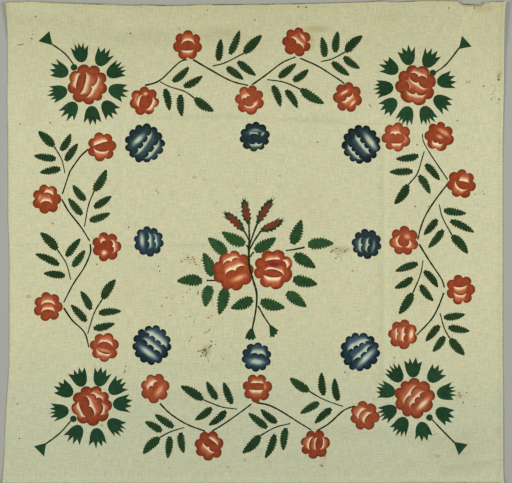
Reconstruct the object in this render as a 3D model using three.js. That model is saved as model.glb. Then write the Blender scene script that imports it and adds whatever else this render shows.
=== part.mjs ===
// A stencilled cotton cushion cover: one square panel of cloth laid out flat, face up.
// Millimetres, +Z up. The origin is the middle of the panel's outline, on the surface it lies on,
// with +X to the right of the design and +Y to its top.

import * as THREE from 'three';

// Driving dimensions of the cloth.
const LOOM_WIDTH = 760;          // between the selvages, at the narrowest
const CUT_LENGTH = 743;          // from the bottom edge to the top edge
const CLOTH_THICKNESS = 1.2;     // one layer of plain weave
const HEM_THICKNESS = 2.2;       // the rolled edge, two turns of the same cloth
const HEM_DEPTH = 5;             // how far the rolled edge reaches into the cloth
const HEM_STEP = 3;              // over which the rolled edge thins to one layer
const GRID_STEP = 26;            // spacing of the mesh over the flat parts
const CLOSEST_LINES = 2.2;       // mesh lines nearer than this are merged
const CLEAR_OF_CREASES = 10;     // an evenly spaced line keeps this far from a crease's
const LEFT_EDGE_LINES = [12, 26]; // extra mesh lines along the uneven left selvage
const EDGE_REACH = 70;           // how far in an uneven edge still pulls the weave
const ROUNDING = 0.01;

// How far each selvage stands out from half the loom width, by height above the bottom edge.
// The panel flares towards its bottom corners and a little towards the top ones.
const SELVAGES = [
  // up, left, right
  { up: 0, left: 10.4, right: 1.6 },
  { up: 14, left: 9.0, right: 0.6 },
  { up: 36, left: 7.4, right: 0.4 },
  { up: 68, left: 6.4, right: 0.3 },
  { up: 98, left: 5.2, right: 0.2 },
  { up: 129, left: 3.4, right: 0.1 },
  { up: 160, left: 1.0, right: 0 },
  { up: 190, left: -0.6, right: -0.6 },
  { up: 344, left: -0.7, right: -0.6 },
  { up: 375, left: 0.1, right: -0.6 },
  { up: 406, left: 1.3, right: -0.6 },
  { up: 530, left: 1.5, right: -0.5 },
  { up: 591, left: 2.7, right: 0.9 },
  { up: 637, left: 2.0, right: 1.5 },
  { up: 699, left: 2.2, right: 1.5 },
  { up: 714, left: 2.8, right: 1.8 },
  { up: 730, left: 4.2, right: 2.6 },
  { up: 743, left: 5.0, right: 4.2 },
];

// How far the top edge drops below its highest point, by place across the panel.
const TOP_EDGE = [
  // across, drop
  { across: -390, drop: 3.4 },
  { across: -367, drop: 1.9 },
  { across: -345, drop: 1.1 },
  { across: -302, drop: 3.2 },
  { across: -258, drop: 4.6 },
  { across: -215, drop: 6.2 },
  { across: -194, drop: 7.2 },
  { across: -172, drop: 6.1 },
  { across: -129, drop: 7.5 },
  { across: -86, drop: 6.1 },
  { across: 0, drop: 5.7 },
  { across: 65, drop: 4.5 },
  { across: 129, drop: 3.1 },
  { across: 172, drop: 1.6 },
  { across: 194, drop: 0.2 },
  { across: 216, drop: 1.8 },
  { across: 259, drop: 0 },
  { across: 302, drop: 0 },
  { across: 354, drop: 1.8 },
  { across: 380, drop: 1.6 },
];

// The bite torn out of the top edge.
const BITE = { from: 311, to: 350, slope: 6, depth: 5 };

// Fold creases and soft ripples: straight runs from one point to another, each a low rise.
const FOLDS = [
  // name, where it runs from and to, rise above the surface, half width
  { name: 'right fold', fromX: 197, fromY: -222, toX: 197, toY: 156, rise: 1.5, half: 9 },
  { name: 'left fold', fromX: -206, fromY: 40, toX: -206, toY: 180, rise: 0.8, half: 8 },
  { name: 'middle fold', fromX: -2, fromY: 44, toX: -2, toY: 126, rise: 0.7, half: 8 },
  { name: 'upper fold, left part', fromX: -168, fromY: 191, toX: 12, toY: 191, rise: 0.9, half: 8 },
  { name: 'upper fold, right part', fromX: 12, fromY: 186, toX: 124, toY: 186, rise: 0.9, half: 8 },
  { name: 'upper fold, left end', fromX: -392, fromY: 178, toX: -262, toY: 178, rise: 0.7, half: 7 },
  { name: 'upper fold, right end', fromX: 94, fromY: 179, toX: 384, toY: 179, rise: 0.8, half: 7 },
  { name: 'centre fold', fromX: -382, fromY: -6, toX: -86, toY: -6, rise: 0.9, half: 8 },
  { name: 'lower fold', fromX: -154, fromY: -190, toX: -24, toY: -190, rise: 1, half: 8 },
  { name: 'top left ripple', fromX: -364, fromY: 356, toX: -226, toY: 338, rise: 2.4, half: 26 },
  { name: 'top middle ripple', fromX: -190, fromY: 332, toX: -50, toY: 336, rise: 2, half: 28 },
  { name: 'upper ripple', fromX: 0, fromY: 244, toX: 190, toY: 246, rise: 1.5, half: 26 },
  { name: 'inner ripple', fromX: -50, fromY: 150, toX: 100, toY: 144, rise: 1.4, half: 24 },
  { name: 'lower ripple', fromX: -140, fromY: -230, toX: 8, toY: -224, rise: 1.5, half: 24 },
  { name: 'bottom ripple', fromX: 100, fromY: -280, toX: 262, toY: -292, rise: 1.5, half: 24 },
  { name: 'bottom right crease', fromX: 306, fromY: -348, toX: 380, toY: -338, rise: 1.2, half: 12 },
];

// Corners and edges that stand up off the surface. Reach runs along x and along y.
const LIFTS = [
  // corner x, corner y, reach x, reach y, height
  { name: 'top left corner', x: -385, y: 372, reachX: 46, reachY: 74, height: 4.5 },
  { name: 'top right corner', x: 384, y: 372, reachX: 52, reachY: 120, height: 7 },
  { name: 'bottom left corner', x: -390, y: -372, reachX: 40, reachY: 60, height: 1.6 },
];
const RIGHT_CURL = { reach: 22, height: 1.4 };   // the right selvage curls up all the way
const TOP_CURL = { reach: 16, height: 0.9 };     // the rolled hem rides a little high
const LIFT_CURVE = 1.6;          // how sharply a lifted corner bends up
const FOLD_END = 2;              // a fold dies out over this many half widths

const halfWidth = LOOM_WIDTH / 2;
const halfLength = CUT_LENGTH / 2;

// Value of a named column at a place along a table, by straight lines between its rows.
function readTable(table, keyName, valueName, key) {
  let before = table[0];
  for (const row of table) {
    if (row[keyName] >= key) {
      const span = row[keyName] - before[keyName];
      const share = span > 0 ? (key - before[keyName]) / span : 0;
      return before[valueName] + share * (row[valueName] - before[valueName]);
    }
    before = row;
  }
  return before[valueName];
}

// A smooth bump: 1 at zero distance, 0 and flat at the reach and beyond.
function bump(distance, reach) {
  const share = Math.min(Math.abs(distance) / reach, 1);
  return (1 - share * share) ** 2;
}

function topDrop(x) {
  let drop = readTable(TOP_EDGE, 'across', 'drop', x);
  const inside = Math.min(x - BITE.from, BITE.to - x) / BITE.slope;
  drop += BITE.depth * Math.max(0, Math.min(1, inside));
  return drop;
}

// Where a point of the straight weave lies once the edges have been pulled out of true.
function placeOnTable(x, y) {
  const up = y + halfLength;
  const leftOut = readTable(SELVAGES, 'up', 'left', up);
  const rightOut = readTable(SELVAGES, 'up', 'right', up);
  const nearLeft = bump(x + halfWidth, EDGE_REACH);
  const nearRight = bump(halfWidth - x, EDGE_REACH);
  const nearTop = bump(halfLength - y, EDGE_REACH);
  return {
    x: x - leftOut * nearLeft + rightOut * nearRight,
    y: y - topDrop(x) * nearTop,
  };
}

// Height of the cloth's underside above the surface.
function liftAt(x, y) {
  let lift = 0;
  for (const fold of FOLDS) {
    const runX = fold.toX - fold.fromX;
    const runY = fold.toY - fold.fromY;
    const length = Math.hypot(runX, runY);
    const along = ((x - fold.fromX) * runX + (y - fold.fromY) * runY) / length;
    const across = ((y - fold.fromY) * runX - (x - fold.fromX) * runY) / length;
    const pastEnd = Math.max(-along, along - length, 0);
    lift = Math.max(lift, fold.rise * bump(across, fold.half) * bump(pastEnd, fold.half * FOLD_END));
  }
  for (const corner of LIFTS) {
    const inX = Math.min(Math.abs(x - corner.x) / corner.reachX, 1);
    const inY = Math.min(Math.abs(y - corner.y) / corner.reachY, 1);
    const rise = corner.height * ((1 - inX) * (1 - inY)) ** LIFT_CURVE;
    lift = Math.max(lift, rise);
  }
  lift = Math.max(lift, RIGHT_CURL.height * bump(halfWidth - x, RIGHT_CURL.reach));
  lift = Math.max(lift, TOP_CURL.height * bump(halfLength - y, TOP_CURL.reach));
  return lift;
}

// Mesh lines along one direction: an even spacing, with more lines where asked for.
function meshLines(half, wanted) {
  const evenCount = Math.round((2 * half) / GRID_STEP);
  const lines = [-half, half, ...wanted.filter((line) => Math.abs(line) < half)];
  for (let i = 1; i < evenCount; i += 1) {
    const line = -half + (2 * half * i) / evenCount;
    if (lines.every((other) => Math.abs(other - line) > CLEAR_OF_CREASES)) {
      lines.push(line);
    }
  }
  lines.sort((a, b) => a - b);
  return lines.filter((line, i) => i === 0 || line - lines[i - 1] > CLOSEST_LINES);
}

// The straight creases, the bite and the edges ask for lines of their own.
const acrossWanted = [
  BITE.from, BITE.from + BITE.slope, BITE.to - BITE.slope, BITE.to,
  halfWidth - RIGHT_CURL.reach / 2, halfWidth - RIGHT_CURL.reach,
  ...LEFT_EDGE_LINES.map((inwards) => inwards - halfWidth),
];
const upWanted = [
  halfLength - HEM_DEPTH, halfLength - HEM_DEPTH - HEM_STEP, halfLength - TOP_CURL.reach,
  -halfLength + HEM_DEPTH, -halfLength + HEM_DEPTH + HEM_STEP,
];
for (const fold of FOLDS) {
  if (fold.fromX === fold.toX) {
    acrossWanted.push(fold.fromX - fold.half, fold.fromX, fold.fromX + fold.half);
  } else if (fold.fromY === fold.toY) {
    upWanted.push(fold.fromY - fold.half, fold.fromY, fold.fromY + fold.half);
  }
}
const acrossLines = meshLines(halfWidth, acrossWanted);
const upLines = meshLines(halfLength, upWanted);

function makeClothGeometry() {
  const columns = acrossLines.length;
  const rows = upLines.length;
  const positions = [];
  const index = [];
  const layerSize = columns * rows;

  // Upper layer first, then the lower one with the same numbering.
  for (const isUpper of [true, false]) {
    for (const y of upLines) {
      const inHem = halfLength - Math.abs(y) <= HEM_DEPTH + ROUNDING;
      const thickness = inHem ? HEM_THICKNESS : CLOTH_THICKNESS;
      for (const x of acrossLines) {
        const spot = placeOnTable(x, y);
        positions.push(spot.x, spot.y, liftAt(x, y) + (isUpper ? thickness : 0));
      }
    }
  }

  const upper = (column, row) => row * columns + column;
  for (let row = 0; row + 1 < rows; row += 1) {
    for (let column = 0; column + 1 < columns; column += 1) {
      const a = upper(column, row);
      const b = upper(column + 1, row);
      const c = upper(column + 1, row + 1);
      const d = upper(column, row + 1);
      index.push(a, b, c, a, c, d);
      index.push(a + layerSize, c + layerSize, b + layerSize);
      index.push(a + layerSize, d + layerSize, c + layerSize);
    }
  }

  // The rim, joining both layers along the four edges.
  const wall = (from, to) => {
    index.push(from, from + layerSize, to, to, from + layerSize, to + layerSize);
  };
  for (let column = 0; column + 1 < columns; column += 1) {
    wall(upper(column, 0), upper(column + 1, 0));
    wall(upper(column + 1, rows - 1), upper(column, rows - 1));
  }
  for (let row = 0; row + 1 < rows; row += 1) {
    wall(upper(0, row + 1), upper(0, row));
    wall(upper(columns - 1, row), upper(columns - 1, row + 1));
  }

  const geometry = new THREE.BufferGeometry();
  geometry.setAttribute('position', new THREE.Float32BufferAttribute(positions, 3));
  geometry.setIndex(index);

  // The outline's middle becomes the origin; the underside already lies at height zero.
  geometry.computeBoundingBox();
  const middle = geometry.boundingBox.getCenter(new THREE.Vector3());
  geometry.translate(-middle.x, -middle.y, 0);
  geometry.computeVertexNormals();
  return geometry;
}

const cottonMaterial = new THREE.MeshStandardMaterial({
  color: 0xc8c7a3,
  roughness: 0.92,
  metalness: 0,
});

const coverCloth = new THREE.Mesh(makeClothGeometry(), cottonMaterial);
coverCloth.name = 'cover_cloth';

const cushionCover = new THREE.Group();
cushionCover.add(coverCloth);

export default cushionCover;
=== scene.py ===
# A stencilled cotton cushion cover: one panel of cloth laid out flat, face up.
# The cloth is worked out in millimetres, as it was measured, and becomes a mesh in metres.
# The origin is the middle of its outline, +X to the right of the design and +Y to its top.

import math
import random

import bpy
import numpy as np
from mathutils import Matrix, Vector
from mathutils.geometry import delaunay_2d_cdt


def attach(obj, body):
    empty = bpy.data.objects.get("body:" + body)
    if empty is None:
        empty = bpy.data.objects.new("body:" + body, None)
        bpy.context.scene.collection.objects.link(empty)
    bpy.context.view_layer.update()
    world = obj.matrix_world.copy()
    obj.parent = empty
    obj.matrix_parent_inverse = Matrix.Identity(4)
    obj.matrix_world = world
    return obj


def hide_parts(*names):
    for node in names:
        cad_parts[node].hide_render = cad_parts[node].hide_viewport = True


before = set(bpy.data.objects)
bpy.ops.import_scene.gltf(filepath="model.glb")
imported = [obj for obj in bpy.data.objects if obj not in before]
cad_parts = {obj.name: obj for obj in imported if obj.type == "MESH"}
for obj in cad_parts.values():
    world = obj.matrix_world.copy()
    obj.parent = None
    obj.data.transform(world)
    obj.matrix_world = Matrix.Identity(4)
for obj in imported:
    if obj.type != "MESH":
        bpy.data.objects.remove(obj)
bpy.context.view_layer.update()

# The camera.
# It hangs straight above the cloth with a long lens, as over a copy stand. The picture is
# as wide as the cloth with a few millimetres of floor at each side.
CAMERA_HEIGHT = 2.4
CAMERA_ASIDE = 0.0031
LENS = 109.6
camera_data = bpy.data.cameras.new("camera")
camera_data.sensor_width = 36
camera_data.lens = LENS
camera_data.clip_end = 20
camera = bpy.data.objects.new("camera", camera_data)
bpy.context.scene.collection.objects.link(camera)
camera.location = (CAMERA_ASIDE, 0, CAMERA_HEIGHT)
bpy.context.scene.camera = camera

# The cloth's cut and edges.
# One loom width of cotton between two woven selvages, with a fine rolled hem along the top.
# Years of handling have pulled the edges a few millimetres out of true.
HALF_WIDTH = 380
HALF_LENGTH = 371.5
EDGE_REACH = 70
THICKNESS = 1.2
HEM_THICKNESS = 2.2
HEM_DEPTH = 5
HEM_END = 8
SELVAGE_IN = 2.5
SELVAGE_HALF = 3
SELVAGE_RISE = 0.25

# How far each selvage stands out from half the loom width, by height above the bottom edge.
SELVAGES = (
    # up, left, right
    (0, 10.4, 1.6), (14, 9.0, 0.6), (36, 7.4, 0.4), (68, 6.4, 0.3), (98, 5.2, 0.2),
    (129, 3.4, 0.1), (160, 1.0, 0), (190, -0.6, -0.6), (344, -0.7, -0.6), (375, 0.1, -0.6),
    (406, 1.3, -0.6), (530, 1.5, -0.5), (591, 2.7, 0.9), (637, 2.0, 1.5), (699, 2.2, 1.5),
    (714, 2.8, 1.8), (730, 4.2, 2.6), (743, 5.0, 4.2),
)
# How far the top edge drops below its highest point, by place across the cloth.
TOP_EDGE = (
    # across, drop
    (-390, 3.4), (-367, 1.9), (-345, 1.1), (-302, 3.2), (-258, 4.6), (-215, 6.2), (-194, 7.2),
    (-172, 6.1), (-129, 7.5), (-86, 6.1), (0, 5.7), (65, 4.5), (129, 3.1), (172, 1.6),
    (194, 0.2), (216, 1.8), (259, 0), (302, 0), (354, 1.8), (380, 1.6),
)
# A bite is torn out of the top edge near its right end.
BITE_FROM = 311
BITE_TO = 350
BITE_SLOPE = 6
BITE_DEPTH = 5


def column(table, key, index):
    """A column of a table at each key, by straight lines between the rows."""
    rows = np.array(table, dtype=float)
    return np.interp(key, rows[:, 0], rows[:, index])


def bump(distance, reach):
    """1 at no distance, falling smoothly to 0 at the reach."""
    share = np.minimum(np.abs(distance) / reach, 1)
    return (1 - share * share) ** 2


def top_drop(x):
    bitten = np.minimum(x - BITE_FROM, BITE_TO - x) / BITE_SLOPE
    return column(TOP_EDGE, x, 1) + BITE_DEPTH * np.clip(bitten, 0, 1)


def pull(x, y):
    """How far the edges are pulled out of true where the straight weave would be at x, y."""
    up = y + HALF_LENGTH
    left = column(SELVAGES, up, 1) * bump(x + HALF_WIDTH, EDGE_REACH)
    right = column(SELVAGES, up, 2) * bump(HALF_WIDTH - x, EDGE_REACH)
    return right - left, -top_drop(x) * bump(HALF_LENGTH - y, EDGE_REACH)


def on_weave(x, y):
    """The place on the straight weave of a point that lies at x, y on the table."""
    wx, wy = x, y
    for _ in range(3):
        dx, dy = pull(wx, wy)
        wx = np.clip(x - dx, -HALF_WIDTH, HALF_WIDTH)
        wy = np.clip(y - dy, -HALF_LENGTH, HALF_LENGTH)
    return wx, wy


def thickness_at(x, y):
    from_end = HALF_LENGTH - np.abs(y)
    hem = np.clip((HEM_END - from_end) / (HEM_END - HEM_DEPTH), 0, 1)
    selvage = bump(HALF_WIDTH - np.abs(x) - SELVAGE_IN, SELVAGE_HALF) * SELVAGE_RISE
    return THICKNESS + (HEM_THICKNESS - THICKNESS) * hem * hem * (3 - 2 * hem) + selvage


# The outline runs counter-clockwise from the bottom left corner. The hem's stitches pull the
# top edge into fine scallops, and the bite has a ragged lip.
EDGE_STEP = 4
STITCH_POINTS = 4
STITCH = 7.7
SCALLOP = 0.22
BOTTOM_PAST = 0.8
RAGGED_BITE = 0.8
RAGGED_END = 0.1
RAGGED_SELVAGE = 0.15
rag = random.Random(11)
outline = []
for x in np.arange(-HALF_WIDTH, HALF_WIDTH, EDGE_STEP):
    outline.append((x, -HALF_LENGTH))
for y in np.arange(-HALF_LENGTH, HALF_LENGTH, EDGE_STEP):
    outline.append((HALF_WIDTH, y))
for x in np.arange(HALF_WIDTH, -HALF_WIDTH, -STITCH / STITCH_POINTS):
    outline.append((x, HALF_LENGTH))
for y in np.arange(HALF_LENGTH, -HALF_LENGTH, -EDGE_STEP):
    outline.append((-HALF_WIDTH, y))
edge_x, edge_y = np.array(outline, dtype=float).T
pull_x, pull_y = pull(edge_x, edge_y)
on_top = edge_y > HALF_LENGTH - 1
in_bite = on_top & (edge_x > BITE_FROM) & (edge_x < BITE_TO)
edge_y = edge_y + pull_y
edge_x = edge_x + pull_x
# The photo cuts the bottom edge off, so it lies a little past the solid's.
edge_y = edge_y - np.where(edge_y < 1 - HALF_LENGTH, BOTTOM_PAST, 0)
edge_y = edge_y - np.where(on_top, SCALLOP * (1 + np.cos(edge_x / STITCH * 2 * math.pi)) / 2, 0)
ragged = np.where(in_bite, RAGGED_BITE, RAGGED_END)
edge_y = edge_y + np.array([rag.uniform(-lip, lip) for lip in ragged])
edge_x = edge_x + np.array([rag.uniform(-RAGGED_SELVAGE, RAGGED_SELVAGE) for _ in outline])

# The folds and lifted corners.
# The cover was kept folded in three each way, and lies with the marks of it: straight
# creases, low ripples between them, and corners and a right edge that stand off the table.
FOLDS = (
    # from x, from y, to x, to y, rise, half width; then the tone of the upper or left side,
    # that of the other side, and how wide both are: a painted highlight above zero and a painted
    # shade below it, for how the light falls on each flank of the fold
    (197, -222, 197, 156, 1.5, 9, -0.45, 0.5, 3.4),
    (-206, 40, -206, 180, 0.8, 8, -0.25, 0.25, 3),
    (2, 44, 2, 126, 0.5, 8, -0.3, 0, 2),
    (-168, 188, 12, 188, 0.5, 8, -0.45, 0.12, 4),
    (12, 182.6, 124, 182.6, 0.5, 8, -0.5, 0.1, 4.4),
    (-392, 176, -262, 176, 0.5, 7, -0.2, 0.1, 2.4),
    (94, 179, 384, 179, 0.5, 7, -0.3, 0.1, 2),
    (-382, -6, -86, -6, 0.5, 8, -0.6, 0.1, 1.3),
    (112, -10, 176, -10, 0.4, 7, -0.4, 0.05, 1.6),
    (-154, -190, -24, -190, 0.6, 8, -0.45, 0.05, 2.4),
    (-364, 356, -226, 338, 2.4, 26, 0.22, -0.12, 12),
    (-190, 327, -50, 331, 2, 28, 0.24, -0.36, 13),
    (0, 244, 190, 246, 1.5, 26, 0.05, -0.12, 12),
    (-50, 150, 100, 144, 1.4, 24, -0.14, 0.1, 7),
    (-140, -230, 8, -224, 1.5, 24, 0.08, -0.12, 9),
    (100, -280, 262, -292, 1.5, 24, 0.08, -0.16, 9),
    (300, -344.5, 380, -334, 1.2, 12, 0, -0.6, 1.6),
)
LIFTS = (
    # corner x, corner y, reach x, reach y, height
    (-385, 372, 46, 74, 4.5),
    (384, 372, 52, 120, 7),
    (-390, -372, 40, 60, 1.6),
)
LIFT_CURVE = 1.6
RIGHT_CURL_REACH = 22
RIGHT_CURL = (
    # up, height
    (0, 0.8), (80, 0.9), (150, 0.4), (480, 0.4), (570, 1.0), (640, 1.8), (743, 2),
)
TOP_CURL_REACH = 16
TOP_CURL = 0.9
FOLD_END = 2
WAVES = (
    # length, direction in degrees, phase
    (230, 12, 0.4), (170, 96, 2.1), (120, 58, 4.4), (95, 143, 1.2), (70, 24, 5.3), (62, 104, 0.9),
)
WAVINESS = 0.45
WAVE_RISE = 0.1
FOLD_UNEVENNESS = 0.25
# How far beside a fold its painted shade and highlight lie, and how patchy they are.
FOLD_SHADE_ASIDE = 0.9
FOLD_SHADE_PATCHES = 0.3


def along_fold(fold, x, y):
    """How far a point is off a fold's line, and how much of the fold is left there, 0 to 1."""
    run_x, run_y = fold[2] - fold[0], fold[3] - fold[1]
    length = math.hypot(run_x, run_y)
    along = ((x - fold[0]) * run_x + (y - fold[1]) * run_y) / length
    across = ((y - fold[1]) * run_x - (x - fold[0]) * run_y) / length
    past_end = np.maximum(np.maximum(-along, along - length), 0)
    return across, bump(past_end, fold[5] * FOLD_END)


def lift_at(x, y):
    """Height of the cloth's underside over the table, at a place on the straight weave."""
    lift = np.zeros_like(x)
    for length, direction, phase in WAVES:
        turn = math.radians(direction)
        path = x * math.cos(turn) + y * math.sin(turn)
        lift = lift + np.sin(path / length * 2 * math.pi + phase) / len(WAVES)
    lift = WAVINESS * np.maximum(lift + WAVE_RISE, 0)
    for fold in FOLDS:
        across, left = along_fold(fold, x, y)
        uneven = np.sin((x + y) / 31 + fold[0]) * np.sin((x - y) / 19)
        lift = np.maximum(lift, fold[4] * (1 + FOLD_UNEVENNESS * uneven) * bump(across, fold[5]) * left)
    for corner_x, corner_y, reach_x, reach_y, height in LIFTS:
        in_x = np.minimum(np.abs(x - corner_x) / reach_x, 1)
        in_y = np.minimum(np.abs(y - corner_y) / reach_y, 1)
        lift = np.maximum(lift, height * ((1 - in_x) * (1 - in_y * in_y)) ** LIFT_CURVE)
    curl = column(RIGHT_CURL, y + HALF_LENGTH, 1)
    lift = np.maximum(lift, curl * bump(HALF_WIDTH - x, RIGHT_CURL_REACH))
    return np.maximum(lift, TOP_CURL * bump(HALF_LENGTH - y, TOP_CURL_REACH))


def shade_and_tone_at(x, y):
    """Painted highlight, above zero, and painted shade beside the folds, as light falls on their
    flanks; and the tones of the right selvage.
    """
    shade_and_tone = np.zeros_like(x)
    for fold in FOLDS:
        across, left = along_fold(fold, x, y)
        first, second, width = fold[6:]
        patchy = left * (1 - FOLD_SHADE_PATCHES + FOLD_SHADE_PATCHES * np.sin((x + 2 * y) / 23 + fold[1]))
        shade_and_tone = shade_and_tone + first * patchy * np.exp(-((across - FOLD_SHADE_ASIDE * width) / width) ** 2)
        shade_and_tone = shade_and_tone + second * patchy * np.exp(-((across + FOLD_SHADE_ASIDE * width) / width) ** 2)
    # The right selvage has a pale rim with a darker line beside it.
    shade_and_tone = shade_and_tone + 0.3 * bump(HALF_WIDTH - x, 2.6)
    return shade_and_tone - 0.2 * bump(HALF_WIDTH - x - 5, 3.6)


# The stencilled print.
# Oil or dye paint was dabbed through cut stencils, so every patch has a crisp edge and a
# soft, uneven body. A later patch covers an earlier one, as on the cloth.

# The lamps show a paint at this share of its own colour.
PRINT_SEEN = 0.93


def ink(red, green, blue):
    """A paint's colour as the shader needs it, from the one seen on the cloth."""
    seen = np.array((red, green, blue)) / 255
    return np.where(seen <= 0.04045, seen / 12.92, ((seen + 0.055) / 1.055) ** 2.4) / PRINT_SEEN


# Each shape is a polygon and the function that paints it.
shapes = []


def flat_paint(colour, cover):
    def paint(x, y):
        rgb = np.tile(colour, (len(x), 1))
        return rgb, np.full(len(x), cover)
    return paint


def stencil(polygon, colour, cover=1.0):
    shapes.append((np.array(polygon, dtype=float), flat_paint(colour, cover)))


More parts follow.
